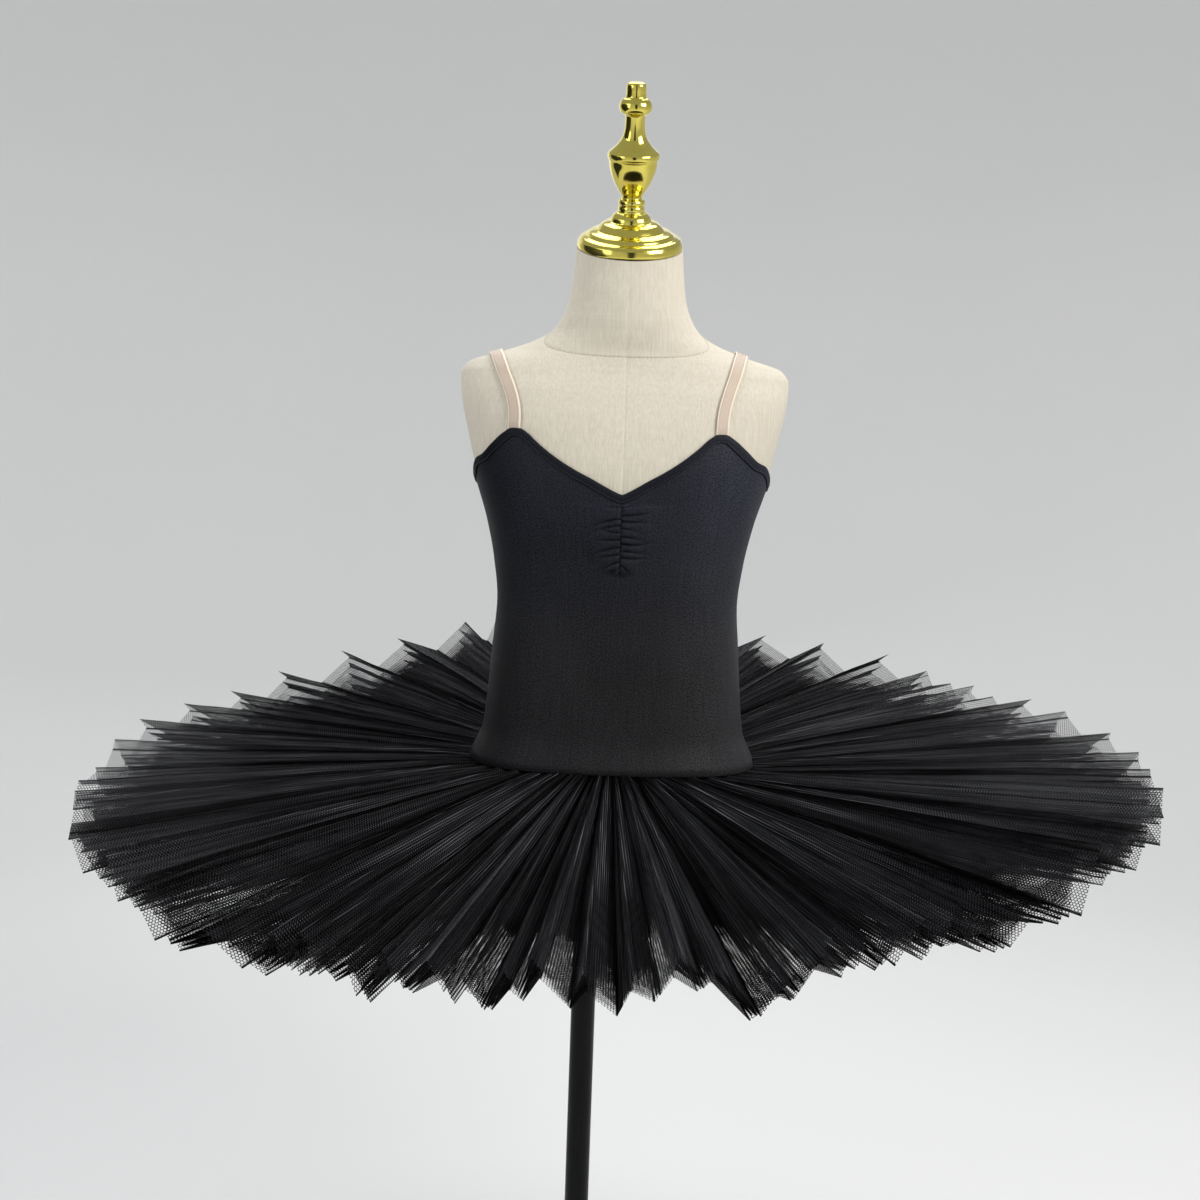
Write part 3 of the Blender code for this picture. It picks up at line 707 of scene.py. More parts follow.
# Even stitches along a line of points
def makeStitchRow():
    tree, given, result = newGroup(
        "stitchRow",
        [
            ("Path", "Geometry"), ("Pitch", "Float", 0.003), ("Length", "Float", 0.002),
            ("Thread", "Float", 0.0004), ("Finish", "Material"),
        ],
        [("Geometry", "Geometry")], "GeometryNodeTree",
    )
    line = outOf(tree, "GeometryNodeMeshToCurve", Mesh=given["Path"])
    marks = outOf(tree, "GeometryNodeResampleCurve", {"mode": "LENGTH"}, Curve=line, Length=given["Pitch"])
    bead = outOf(tree, "GeometryNodeMeshUVSphere", Segments=6, Rings=4, Radius=0.5)
    tangent = outOf(tree, "GeometryNodeInputTangent")
    turn = outOf(tree, "FunctionNodeAlignRotationToVector", {"axis": "X"}, Vector=tangent)
    size = fromAxes(tree, X=given["Length"], Y=given["Thread"], Z=given["Thread"])
    shape = outOf(
        tree, "GeometryNodeInstanceOnPoints", Points=marks, Instance=bead, Rotation=turn, Scale=size,
    )
    shape = outOf(tree, "GeometryNodeRealizeInstances", Geometry=shape)
    shape = outOf(tree, "GeometryNodeSetShadeSmooth", Geometry=shape)
    shape = outOf(tree, "GeometryNodeSetMaterial", Geometry=shape, Material=given["Finish"])
    put(tree, result["Geometry"], shape)
    return tree


# A ring of net, pleated from the hip to its edge. Each point of the source is a fold's inner end
def makePleatedNet():
    tree, given, result = newGroup(
        "pleatedNet",
        [
            ("Folds", "Geometry"), ("Fold Count", "Int", 100), ("Rows", "Int", 20), ("Header", "Float", 0.03),
            ("Depth", "Float", 0.33), ("Crease", "Float", 0.06), ("Buckle", "Float", 0.004),
            ("Ripple", "Float", 0.0008), ("Gathered", "Float", 0.17), ("Seed", "Float", 0.0),
            ("Finish", "Material"),
        ],
        [("Geometry", "Geometry")], "GeometryNodeTree",
    )
    # Four columns for each fold. Fold is the fold a point belongs to, and share its place across it
    steps = times(tree, given["Fold Count"], 4.0)
    grid = outOf(
        tree, "GeometryNodeMeshGrid", Size_X=1.0, Size_Y=1.0, Vertices_X=plus(tree, steps, 1.0),
        Vertices_Y=given["Rows"],
    )
    gridX, gridY, _ = axesOf(tree, outOf(tree, "GeometryNodeInputPosition"))
    out = plus(tree, gridY, 0.5)
    column = maths(tree, "ROUND", times(tree, plus(tree, gridX, 0.5), steps))
    fold = maths(tree, "FLOOR", plus(tree, maths(tree, "DIVIDE", column, 4.0), 0.001))
    part = minus(tree, column, times(tree, fold, 4.0))
    nextFold = maths(tree, "MINIMUM", plus(tree, fold, 1.0), given["Fold Count"])
    shift = times(tree, minus(tree, given["Crease"], 0.25), ranged(tree, out, 0.1, 0.6))
    early, late = (times(tree, maths(tree, "COMPARE", part, which, 0.1), shift) for which in (1.0, 3.0))
    share = plus(tree, maths(tree, "DIVIDE", part, 4.0), minus(tree, early, late))

    def sampled(name, kind="FLOAT", index=fold):
        if name == "position":
            value = outOf(tree, "GeometryNodeInputPosition")
        else:
            named = addNode(tree, "GeometryNodeInputNamedAttribute", {"data_type": kind}, Name=name)
            value = liveSocket(named.outputs, "Attribute")
        node = addNode(
            tree, "GeometryNodeSampleIndex", {"data_type": kind, "domain": "POINT"}, Geometry=given["Folds"],
            Value=value, Index=index,
        )
        return liveSocket(node.outputs, "Value")

    def across(name, kind="FLOAT"):
        mix = "VECTOR" if kind == "FLOAT_VECTOR" else "FLOAT"
        return mixed(tree, share, sampled(name, kind), sampled(name, kind, nextFold), mix)

    # From the hip to the edge, with the folds' lift, a slow buckle and fine ripples near the hip
    inner, outer = across("position", "FLOAT_VECTOR"), across("outer", "FLOAT_VECTOR")
    rising = ranged(tree, out, given["Header"], 1.0)
    level = mixed(tree, out, inner, outer, "VECTOR")
    levelX, levelY, _ = axesOf(tree, level)
    innerZ, outerZ = axesOf(tree, inner)[2], axesOf(tree, outer)[2]
    middle = mixed(tree, maths(tree, "POWER", rising, across("bend")), innerZ, outerZ)
    lift = mixed(tree, maths(tree, "POWER", rising, 0.8), across("hipLift"), across("edgeLift"))
    wander = outOf(
        tree, "ShaderNodeTexNoise", {"noise_dimensions": "4D"}, Vector=level, W=given["Seed"], Scale=11.0,
        Detail=2.0,
    )
    buckle = times(tree, minus(tree, wander, 0.5), given["Buckle"], maths(tree, "POWER", rising, 1.5))
    everyOther = minus(tree, times(tree, maths(tree, "MODULO", column, 2.0), 2.0), 1.0)
    ripple = times(tree, everyOther, given["Ripple"], ranged(tree, out, 0.02, 0.42, 1.0, 0.0))
    height = plus(tree, plus(tree, middle, lift), plus(tree, buckle, ripple))
    place = fromAxes(tree, X=levelX, Y=levelY, Z=height)

    # Maps in metres: the flat cut, and the weave as it shows, gathered at the hip
    start, width = sampled("place"), sampled("width")
    depth = times(tree, out, given["Depth"])
    cut = fromAxes(tree, X=plus(tree, start, times(tree, share, width)), Y=depth)
    shown = times(tree, width, mixed(tree, out, given["Gathered"], 1.0))
    weave = fromAxes(tree, X=plus(tree, start, times(tree, minus(tree, share, 0.5), shown)), Y=depth)
    marks = fromAxes(tree, X=plus(tree, fold, share), Y=out)
    shape = grid
    for kind, domain, name, value in (
        ("FLOAT", "POINT", "raised", across("raised")), ("FLOAT2", "CORNER", "cut", cut),
        ("FLOAT2", "CORNER", "weave", weave), ("FLOAT2", "CORNER", "fold", marks),
    ):
        shape = outOf(
            tree, "GeometryNodeStoreNamedAttribute", {"data_type": kind, "domain": domain},
            Geometry=shape, Name=name, Value=value,
        )
    shape = outOf(tree, "GeometryNodeSetPosition", Geometry=shape, Position=place)
    shape = outOf(tree, "GeometryNodeFlipFaces", Mesh=shape)
    shape = outOf(tree, "GeometryNodeMergeByDistance", Geometry=shape, Distance=0.00001)
    shape = outOf(tree, "GeometryNodeRealizeInstances", Geometry=shape)
    shape = outOf(tree, "GeometryNodeSetMaterial", Geometry=shape, Material=given["Finish"])
    put(tree, result["Geometry"], shape)
    return tree


stitchRow, pleatedNet = makeStitchRow(), makePleatedNet()
print("node groups ready")

# Bodice

bodice = {
    "gap": 0.0013,          # cloth's inner side off the form
    "wall": 0.0011,
    "hemFlare": 0.0065,     # the hem stands off over the net
    "flareHeight": 0.028,
    "hemRise": 0.0048,
    "frontFlat": (0.345, 0.292),
    "frontArea": 0.082,
    "backFlat": (0.335, 0.262),
    "backArea": 0.070,
    "turnToFront": (0.062, 0.033),   # how far the front edge is worn towards -X, at +X and -X
    "dark": (0.0012, 0.0012, 0.0015),
    "light": (0.0335, 0.0330, 0.0355),
    "roughness": 0.52,
}
# Creases of the pinched centre: side, height at the seam, rise outwards, length, strength
ruching = {
    "top": 0.2185,
    "bottom": 0.1600,
    "lift": 0.0032,
    "reach": 0.043,         # of the puffed cloth to each side, at its widest
    "reachBelow": 0.017,
    "narrow": 0.0007,       # a crease's width at the seam
    "widening": 0.024,
    "bend": 60.0,
    "longer": 1.6,          # how far a crease fades out, in its lengths
    "seam": 0.0010,
    "tail": 0.0005,         # depth of the seam below the creases
    "tailFrom": 0.140,
    "creases": [
        (-1, 0.2150, 0.03, 0.020, 0.9), (-1, 0.2062, -0.10, 0.026, 1.0), (-1, 0.2012, -0.10, 0.023, 1.0),
        (-1, 0.1955, -0.08, 0.014, 0.6), (-1, 0.1902, -0.12, 0.016, 0.8), (-1, 0.1842, -0.15, 0.021, 1.0),
        (-1, 0.1784, -0.22, 0.015, 0.8), (-1, 0.1732, -0.45, 0.018, 1.0), (-1, 0.1682, -0.75, 0.012, 0.9),
        (1, 0.2148, 0.22, 0.015, 0.9), (1, 0.2092, -0.06, 0.021, 1.0), (1, 0.2044, -0.08, 0.020, 0.9),
        (1, 0.1990, -0.10, 0.014, 0.7), (1, 0.1926, -0.12, 0.016, 0.8), (1, 0.1868, -0.16, 0.022, 1.0),
        (1, 0.1816, -0.18, 0.018, 0.9), (1, 0.1764, -0.22, 0.020, 1.0), (1, 0.1706, -0.95, 0.013, 1.0),
    ],
}


# Top edge of a panel: angles from its middle to the side seam, and heights
def topEdge(edge):
    across, heights = np.array(edge).T
    angles = angleAt(across, heights)
    count = math.ceil((math.pi / 2 - angles[-1]) / math.radians(10))
    shares = np.arange(1, count + 1) / count
    more = blend(angles[-1], math.pi / 2, shares)
    rest = blend(heights[-1], sideEdgeHeight, ease(shares))
    return np.concatenate([angles, more]), np.concatenate([heights, rest])


# The front edge sits slightly towards -X, as worn
def edgeHeight(edge, angles):
    away = np.abs(angles)
    if edge is frontEdge:
        right, left = bodice["turnToFront"]
        away = away + np.where(angles > 0, right, -left) * np.sin(2 * away)
    return curveThrough(*topEdge(edge), away)


# How much further down an edge's offset lies where the edge slopes
def edgeStretch(edge, angles, middle):
    line = bodyPoint(middle + angles, edgeHeight(edge, angles), 0.003)
    level = np.hypot(np.gradient(line[:, 0]), np.gradient(line[:, 1]))
    slope = np.abs(np.gradient(line[:, 2])) / level
    slope = np.convolve(np.pad(slope, 2, mode="edge"), np.ones(5) / 5, mode="valid")
    return np.sqrt(1 + slope**2)


# The hem and the net's top row ride up at the centre front
def hemRise(angles):
    return bodice["hemRise"] * np.maximum(0, np.cos(angles)) ** 2


def hemFlare(height):
    return bodice["hemFlare"] * ease((bodice["flareHeight"] - height) / bodice["flareHeight"])


# Extra height of the gathered cloth at the centre front
def ruched(x, height):
    away = np.abs(x)
    reach = blend(ruching["reachBelow"], ruching["reach"], ease((height - ruching["bottom"]) / 0.035))
    puff = ruching["lift"] * (1 - ease(away / reach))
    puff = puff * ease((height - ruching["bottom"]) / 0.008) * ease((ruching["top"] - height) / 0.004)
    sunk = np.zeros_like(puff)
    width = ruching["narrow"] + ruching["widening"] * away
    for side, start, rise, length, strength in ruching["creases"]:
        bend = ruching["bend"] * (strength - 0.85) * side * away**2
        line = np.exp(-(((height - start - rise * away - bend) / width) ** 2))
        sunk += strength * line * (1 - ease(away / (ruching["longer"] * length))) * (x * side > -0.0002)
    seam = np.exp(-((x / ruching["seam"]) ** 2))
    tail = ease((height - ruching["tailFrom"]) / 0.02) * ease((ruching["bottom"] + 0.006 - height) / 0.006)
    return puff * (1 - 0.95 * np.minimum(sunk, 1)) * (1 - 0.8 * seam) - ruching["tail"] * seam * tail


def fullAngles(half):
    return np.concatenate([-half[::-1], half[1:]])


def bodicePanel(name, edge, middle, angles, shares, raised=None):
    top = edgeHeight(edge, angles)
    heights = np.array([blend(hemRise(middle + angles), top, share) for share in shares])
    out = bodice["gap"] + hemFlare(heights)
    atSeam = np.abs(np.abs(angles) - math.pi / 2)
    out = out - 0.0004 * np.exp(-((atSeam / 0.02) ** 2))
    points = bodyPoint(middle + angles, heights, out)
    if raised is not None:
        points = bodyPoint(middle + angles, heights, out + raised(points[..., 0], heights))
    return surfaceMesh(name, points)


fineAcross = np.concatenate([[0, 0.0004, 0.0009, 0.0015, 0.0022, 0.003], np.arange(0.004, 0.034, 0.0012)])
frontHalf = angleAt(fineAcross, 0.19)
frontAngles = fullAngles(np.concatenate([frontHalf, np.linspace(frontHalf[-1], math.pi / 2, 46)[1:]]))
backAngles = np.radians(np.linspace(-90, 90, 97))
frontShares = np.concatenate([np.linspace(0, 0.61, 26), np.linspace(0.61, 0.985, 150)[1:], [0.992, 0.998]])
backShares = np.concatenate([np.linspace(0, 0.3, 16), np.linspace(0.3, 0.998, 40)[1:]])

jerseyCloth = jerseyMaterial("blackJersey", bodice["dark"], bodice["light"], bodice["roughness"])
blackThread = threadMaterial("blackThread", (0.012, 0.012, 0.014), (0.045, 0.045, 0.05))
linenThread = threadMaterial("linenThread", (0.34, 0.29, 0.21), (0.62, 0.56, 0.45))

mesh = bodicePanel("bodiceFront", frontEdge, 0.0, frontAngles, frontShares, ruched)
bodiceFront = addPiece("bodiceFront", mesh, jerseyCloth, ["bodice_front"])
mesh = bodicePanel("bodiceBack", backEdge, math.pi, backAngles, backShares)
bodiceBack = addPiece("bodiceBack", mesh, jerseyCloth, ["bodice_back"])
for piece in (bodiceFront, bodiceBack):
    addWall(piece, bodice["wall"])
print("bodice made")

# Bindings
binding = {
    "width": 0.0063,
    "wall": 0.0004,
    "frontFlat": (0.0145, 0.400),
    "backFlat": (0.0145, 0.330),
    "stitchBelow": 0.0055,
    "stitchOff": 0.00362,
    "stitch": (0.0026, 0.0019, 0.00038),   # pitch, length and thread
    "dark": (0.0036, 0.0036, 0.0044),
    "light": (0.0180, 0.0178, 0.0200),
    "roughness": 0.5,
}
# The strip folded over the edge: distance below the edge and off the form, in millimetres at full width
bandSection = np.array([
    (7.30, 2.45), (7.28, 3.05), (6.90, 3.45), (6.10, 3.60), (5.30, 3.55), (4.60, 3.75), (3.60, 3.92),
    (2.20, 3.88), (1.00, 3.62), (0.10, 3.05), (-0.50, 2.30), (-0.60, 1.60), (-0.20, 0.95), (0.80, 0.60),
    (2.80, 0.48),
]) / 1000


def bandMesh(name, edge, middle, angles):
    top = edgeHeight(edge, angles)
    stretch = edgeStretch(edge, angles, middle)
    rows = []
    for below, off in bandSection:
        below = below * binding["width"] / bandSection[0, 0]
        rows.append(bodyPoint(middle + angles, top - below * stretch, off))
    return surfaceMesh(name, np.array(rows))


# A line of points for the stitches of a binding
def edgeLine(edge, middle, angles):
    heights = edgeHeight(edge, angles) - binding["stitchBelow"] * edgeStretch(edge, angles, middle)
    return bodyPoint(middle + angles, heights, binding["stitchOff"])


def stitched(name, lines, finish, stitch):
    pitch, length, thread = stitch
    points, edges = [], []
    for line in lines:
        edges += [(len(points) + i, len(points) + i + 1) for i in range(len(line) - 1)]
        points += [tuple(point) for point in line]
    path = bpy.data.meshes.new(name + "Path")
    path.from_pydata(points, edges, [])
    mesh = grown(stitchRow, name, path, pitch=pitch, length=length, thread=thread, finish=finish)
    return addPiece(name, mesh, finish)


bandCloth = jerseyMaterial("blackBinding", binding["dark"], binding["light"], binding["roughness"])
bandAngles = np.radians(np.linspace(-90, 90, 241))
mesh = bandMesh("bindingFront", frontEdge, 0.0, bandAngles)
bindingFront = addPiece("bindingFront", mesh, bandCloth, ["binding_front"])
mesh = bandMesh("bindingBack", backEdge, math.pi, bandAngles)
bindingBack = addPiece("bindingBack", mesh, bandCloth, ["binding_back"])
for piece in (bindingFront, bindingBack):
    addWall(piece, binding["wall"], -1.0)
bandLines = [edgeLine(frontEdge, 0.0, bandAngles), edgeLine(backEdge, math.pi, bandAngles)]
bandStitches = stitched("bandStitches", bandLines, blackThread, binding["stitch"])
print("bindings made")

# Shoulder straps
strap = {
    "width": 0.010,
    "wall": 0.0009,
    "off": 0.0013,
    "frontX": (0.0775, 0.0870),   # at +X, at -X
    "topX": (0.0960, 0.1085),
    "backX": 0.074,
    "lift": 0.0022,               # above the panel's edge where the visible strap starts
    "tuck": 0.075,                # share of its turn that goes down behind the bodice
    "furthest": 0.12,             # past the form's surface, for the search along each line
    "flat": (0.012, 0.260),
}


def strapMesh(name, side):
    frontX, topX = (strap[key][0 if side > 0 else 1] for key in ("frontX", "topX"))
    frontHeight = edgeHeight(frontEdge, side * angleAt(frontX, 0.274)) + strap["lift"]
    backHeight = curveThrough(*np.array(backEdge).T, strap["backX"]) + strap["lift"]
    shares = np.linspace(-strap["tuck"], 1 + strap["tuck"], 101)[:, None]
    inside = np.clip(shares, 0, 1)
    middle = blend(frontX, strap["backX"], inside)
    middle = blend(middle, topX, np.sin(np.pi * inside) ** 2)
    x = side * middle + strap["width"] * np.linspace(-0.5, 0.5, 9)[None, :]
    turn = np.pi * shares
    startY, startZ = bodySection(frontHeight)[2], blend(frontHeight, backHeight, shares)
    near, far = np.zeros_like(x), np.full_like(x, strap["furthest"])
    for _ in range(40):
        reach = (near + far) / 2
        y, z = startY - reach * np.cos(turn), startZ + reach * np.sin(turn)
        within = fullness(x, y, z) < 1
        near, far = np.where(within, reach, near), np.where(within, far, reach)
    step = 1e-5
    here = fullness(x, y, z)
    slope = np.stack([
        fullness(x + step, y, z) - here, fullness(x, y + step, z) - here, fullness(x, y, z + step) - here,
    ], axis=-1)
    slope /= np.linalg.norm(slope, axis=-1, keepdims=True)
    past = np.maximum(-shares, shares - 1)
    off = blend(strap["off"], 0.0003, ease((past + 0.012) / 0.03))
    points = np.stack([x, y, z + hipHeight], axis=-1) + off[..., None] * slope
    return surfaceMesh(name, points)


nudeElastic = elasticMaterial()
strapLeft = addPiece("strapLeft", strapMesh("strapLeft", 1), nudeElastic, ["strap_left"])
strapRight = addPiece("strapRight", strapMesh("strapRight", -1), nudeElastic, ["strap_right"])
for piece in (strapLeft, strapRight):
    addWall(piece, strap["wall"])
print("straps made")

# Brief and gusset, which carry the net
brief = {
    "top": 0.012,
    "legTop": -0.056,
    "crotchX": 0.0185,
    "crotchWidth": 0.033,
    "crotchJoin": -0.112,
    "stitchAbove": 0.005,
    "stitch": (0.0032, 0.0022, 0.0004),
    "flat": (0.335, 0.130),
    "area": 0.032,
    "gussetFlat": (0.033, 0.215),
}
crotchAcross = brief["crotchX"] + brief["crotchWidth"] * np.linspace(-0.5, 0.5, 9)


def legHeight(angles, start, end):
    side = math.pi / 2
    past = np.where(angles > end, (angles - end) / (side - end), (start - angles) / (side + start))
    return blend(brief["crotchJoin"], brief["legTop"], ease(past) ** 0.55)


def briefMesh(name, facing):
    start, end = angleAt(crotchAcross[[0, -1]], brief["crotchJoin"])
    ends = [np.linspace(-math.pi / 2, start, 34)[:-1], angleAt(crotchAcross, brief["crotchJoin"])]
    angles = np.concatenate([*ends, np.linspace(end, math.pi / 2, 28)[1:]])
    low = legHeight(angles, start, end)
    heights = np.array([blend(low, brief["top"], share) for share in np.linspace(0, 1, 20)])
    hem = 0.0005 * np.exp(-(((heights - low) / 0.004) ** 4))
    around = angles if facing > 0 else math.pi - angles
    points = bodyPoint(around, heights, bodice["gap"] + hem)
    return surfaceMesh(name, points if facing > 0 else points[:, ::-1]), low, around


# Strips of the gusset, round the form's lower edge and under it
def gussetMesh(name):
    halfWidth, halfDepth, _, squareness = bodySection(formBottom + formCorner)
    radius = formCorner + bodice["gap"]
    turns = np.radians(np.linspace(0, 90, 9))
    lines = []
    for x in crotchAcross:
        side = halfDepth * (1 - abs(x / halfWidth) ** squareness) ** (1 / squareness) - formCorner
        y = np.concatenate([[side + radius], side + radius * np.cos(turns), side * np.linspace(0.9, 0, 10)])
        z = np.concatenate([
            [brief["crotchJoin"]], formBottom + formCorner - radius * np.sin(turns),
            np.full(10, formBottom - bodice["gap"]),
        ])
        half = np.stack([np.full_like(y, x), -y, z + hipHeight], axis=-1)
        lines.append(np.concatenate([half, (half * (1, -1, 1))[-2::-1]]))
    return surfaceMesh(name, np.array(lines).transpose(1, 0, 2)[::-1])


briefFrontMesh, legLow, frontAround = briefMesh("briefFront", 1)
briefBackMesh, _, backAround = briefMesh("briefBack", -1)
briefFront = addPiece("briefFront", briefFrontMesh, jerseyCloth, ["brief_front"])
briefBack = addPiece("briefBack", briefBackMesh, jerseyCloth, ["brief_back"])
gusset = addPiece("crotchGusset", gussetMesh("crotchGusset"), jerseyCloth, ["gusset"])
for piece in (briefFront, briefBack, gusset):
    addWall(piece, bodice["wall"])
legOff = bodice["gap"] + bodice["wall"] + 0.0002
legLines = [bodyPoint(around, legLow + brief["stitchAbove"], legOff) for around in (frontAround, backAround)]
legStitches = stitched("legStitches", legLines, blackThread, brief["stitch"])
print("brief made")

# Net
net = {
    "layers": 5,
    "pleats": 38,
    "seed": 11,
    "firstRow": -0.0062,    # the upper layer's sewn row, from the hip seam
    "rowStep": 0.009,
    "rowRise": 0.0040,
    "hemFollow": 1.3,       # how far the rows rise at the front with the bodice's hem
    "innerOff": 0.0030,
    "width": 0.33,          # from hip to edge
    "header": 0.0105,       # level part at the hip
    "radius": 0.429,
    "radiusStep": 0.0035,
    "radiusVary": 0.010,
    "centreX": 0.002,
    "rise": 0.003,
    "sideTilt": 0.018,
    "backRise": 0.056,
    "frontDrop": 0.020,
    "spacingBack": 0.0100,
    "spacingFront": 0.0036,
    "bend": (0.9, 0.3),     # how the net curves on its way out, and how much more at the front
    "foldHip": 0.0026,
    "foldEdge": 0.024,
    "crease": 0.06,         # width of a crease, as a share of its fold
    "buckle": 0.007,
    "ripple": 0.0008,
    "gathered": 0.17,
    "rows": 26,
    "widthVary": 0.36,      # of the main folds
    "heightVary": 0.40,
    "turned": 0.12,         # share of pleats laid the other way
    "single": 0.72,         # share of main folds with one pleat, where front or side don't decide
    "singleFacing": (0.25, 0.86),   # how far to the front the folds have one pleat, and from where three
    "placeVary": 0.10,
    "liftVary": 0.34,
    "reachVary": 1.0,
    "layerPlaceVary": 0.03,
    "layerLiftVary": 0.22,
    "layerReachVary": 0.9,
    "furthest": 0.40,       # limit of a fold's reach, as a share of radiusVary
    "reach": (0.10, -0.75, -0.80, -0.80, -0.80),   # of each layer, as a share of radiusVary
    "tall": (1.12, 1.00, 0.86, 0.78, 0.72),        # height of each layer's folds
    "sharpFrom": 24,        # degrees between faces
    "flatWidth": 0.335,
    # Of each layer, as shown: length along the edge, and the area of its flat cut
    "flat": ((4.09, 0.822), (3.94, 0.768), (3.75, 0.729), (3.64, 0.700), (3.52, 0.674)),
}
# Folds of the pleats laid over each main fold: share of its width, and height in halves of its height
onePleat = [(0.0, -1.0), (0.60, 1.05), (0.50, 0.45)]
twoPleats = [(0.0, -1.0), (0.36, 0.92), (0.29, 0.50), (0.54, 0.00), (0.83, 0.60)]
threePleats = [(0.0, -1.0), (0.25, 0.75), (0.37, -0.35), (0.57, 1.05), (0.70, -0.25), (0.86, 0.45)]
# Parts of the round where the edge is lifted or let down, and reaches further: degrees, height, reach, spread
edgeWaves = [
    (-160, 0.007, 0.001, 9), (-120, -0.005, 0.000, 8), (-102, 0.007, -0.004, 8), (-84, 0.000, -0.006, 10),
    (-58, -0.003, 0.003, 12), (-34, -0.006, 0.006, 8), (-21, -0.004, 0.004, 5), (-12, -0.006, 0.006, 4),
    (-2, -0.005, 0.005, 6), (10, -0.008, 0.007, 4), (27, -0.003, 0.004, 4), (35, -0.006, 0.006, 5),
    (58, -0.002, 0.000, 9), (99, 0.007, 0.003, 6), (128, 0.002, 0.000, 10), (170, -0.003, 0.000, 8),
]
# Shades and closings are ranges of four: from, to, and the values at both
upperThreads = {
    "cell": 0.0022,
    "thread": 0.00031,
    "swerve": 0.5,          # of the rows, in rows
    # Scales of the noises, along the hip and outwards
    "swerveNoise": (30.0, 5.0, 1.0),
    "broadNoise": (60.0, 3.0, 1.0),
    "fineNoise": (380.0, 14.0, 1.0),
    "streakNoise": (210.0, 4.0, 1.0),
    "crease": 0.055,
    "body": 0.09,           # closing of the open holes
    "solidUntil": 0.38,
    "openFrom": 0.64,
    "vary": 0.16,           # from panel to panel
    "frontClosed": (-0.15, -0.40, 0.0, 0.11),
    "backClosed": (0.05, 0.30, 0.0, 0.26),
    "edgeOn": (0.70, 0.92, 0.0, 0.9),
    "dark": (0.0026, 0.0026, 0.0034),
    "light": (0.250, 0.250, 0.272),
    "tones": (0.16, 0.55),  # at the hip and at the edge
    "frontBase": (-0.05, -0.35, 1.0, 0.14),
    "frontTone": (-0.05, -0.35, 1.0, 0.95),
    "backTone": (0.05, 0.30, 1.0, 0.70),
    "foldShade": (-0.85, 0.45, 0.30, 1.0),
    "streakShade": (0.36, 0.62, 0.30, 1.25),
    "ribsShown": (-0.05, -0.35, 0.6, 1.0),
    "roughness": 0.5,
    "specular": 0.10,
    "relief": 0.0003,
}
lowerThreads = {
    **upperThreads,
    "solidUntil": 0.64,
    "openFrom": 0.84,
    "vary": 0.26,
    "frontClosed": (-0.15, -0.40, 0.0, 0.02),
    "backClosed": (0.05, 0.30, 0.0, 0.16),
    "tones": (0.16, 0.40),
}


# For each main fold, a valley then a ridge: share of the round, height and reach
def mainFolds():
    dice = random.Random(net["seed"])
    widths = [1 + net["widthVary"] * (dice.random() - 0.5) for _ in range(2 * net["pleats"])]
    total, at, folds = sum(widths), 0.0, []
    for width in widths:
        folds.append((at / total, 1 + net["heightVary"] * (dice.random() - 0.5), dice.random() - 0.5))
        at += width
    return folds


# The overlapping pleats, laid towards the front: share of the round, lift and reach of every fold
def finePleats(folds, layer):
    common, dice = random.Random(net["seed"] + 1), random.Random(100 + layer)
    singleFrom, threeFrom = net["singleFacing"]
    lines = []
    for k in range(net["pleats"]):
        valley, ridge = folds[2 * k], folds[2 * k + 1]
        after = folds[2 * k + 2] if k + 1 < net["pleats"] else (1.0, *folds[0][1:])
        facing = math.cos(2 * math.pi * ridge[0])
        shape = onePleat if singleFrom < facing < threeFrom or common.random() < net["single"] else twoPleats
        if facing > threeFrom:
            shape = threePleats
        if (ridge[0] < 0.5) != (common.random() < net["turned"]):
            shape = [shape[0]] + [(1 - place, lift) for place, lift in shape[:0:-1]]
        step, droop = 0.0, 0.0
        for i, (place, lift) in enumerate(shape):
            lift *= valley[1] if i == 0 else ridge[1]
            if i % 2:
                step, droop = common.random() - 0.5, common.random() - 0.5
            if i:
                place += net["placeVary"] * (common.random() - 0.5)
                place += net["layerPlaceVary"] * (dice.random() - 0.5)
                lift += net["liftVary"] * droop + net["layerLiftVary"] * (dice.random() - 0.5)
            if place < 0.5:
                share = blend(valley[0], ridge[0], 2 * place)
            else:
                share = blend(ridge[0], after[0], 2 * place - 1)
            reach = blend(valley[2], ridge[2], min(1, 2 * place)) + net["reachVary"] * step * (i > 0)
            lines.append((share, lift, reach + net["layerReachVary"] * (dice.random() - 0.5)))
    return lines


def hipAngles(height, shares):
    angles = np.linspace(0, 2 * np.pi, 721)
    line = bodyPoint(angles, height)
    lengths = np.concatenate([[0], np.cumsum(np.linalg.norm(np.diff(line, axis=0), axis=1))])
    return np.interp(shares, lengths / lengths[-1], angles)


def netEdgeHeight(layer, angles):
    front = np.cos(angles)
    top = net["rise"] + net["sideTilt"] * np.sin(angles) * (1 + front / 2)
    top = top + net["backRise"] * np.maximum(0, -front) ** 2 - net["frontDrop"] * np.maximum(0, front) ** 3
    return top - layer * blend(net["spacingBack"], net["spacingFront"], ease((front + 0.3) / 1.3))


# The edge's radius and height, with the parts that are lifted or let down
def netEdge(layer, angles, reaches):
    reaches = np.minimum(reaches + net["reach"][layer], net["furthest"])
    radius = net["radius"] - net["radiusStep"] * max(0, layer - 1) + net["radiusVary"] * reaches
    height = netEdgeHeight(layer, angles) + hipHeight
    for middle, rise, reach, spread in edgeWaves:
        away = np.degrees(np.abs((angles - math.radians(middle) + np.pi) % (2 * np.pi) - np.pi))
        near = np.exp(-((away / spread) ** 2))
        height, radius = height + rise * near, radius + reach * near
    return radius, height


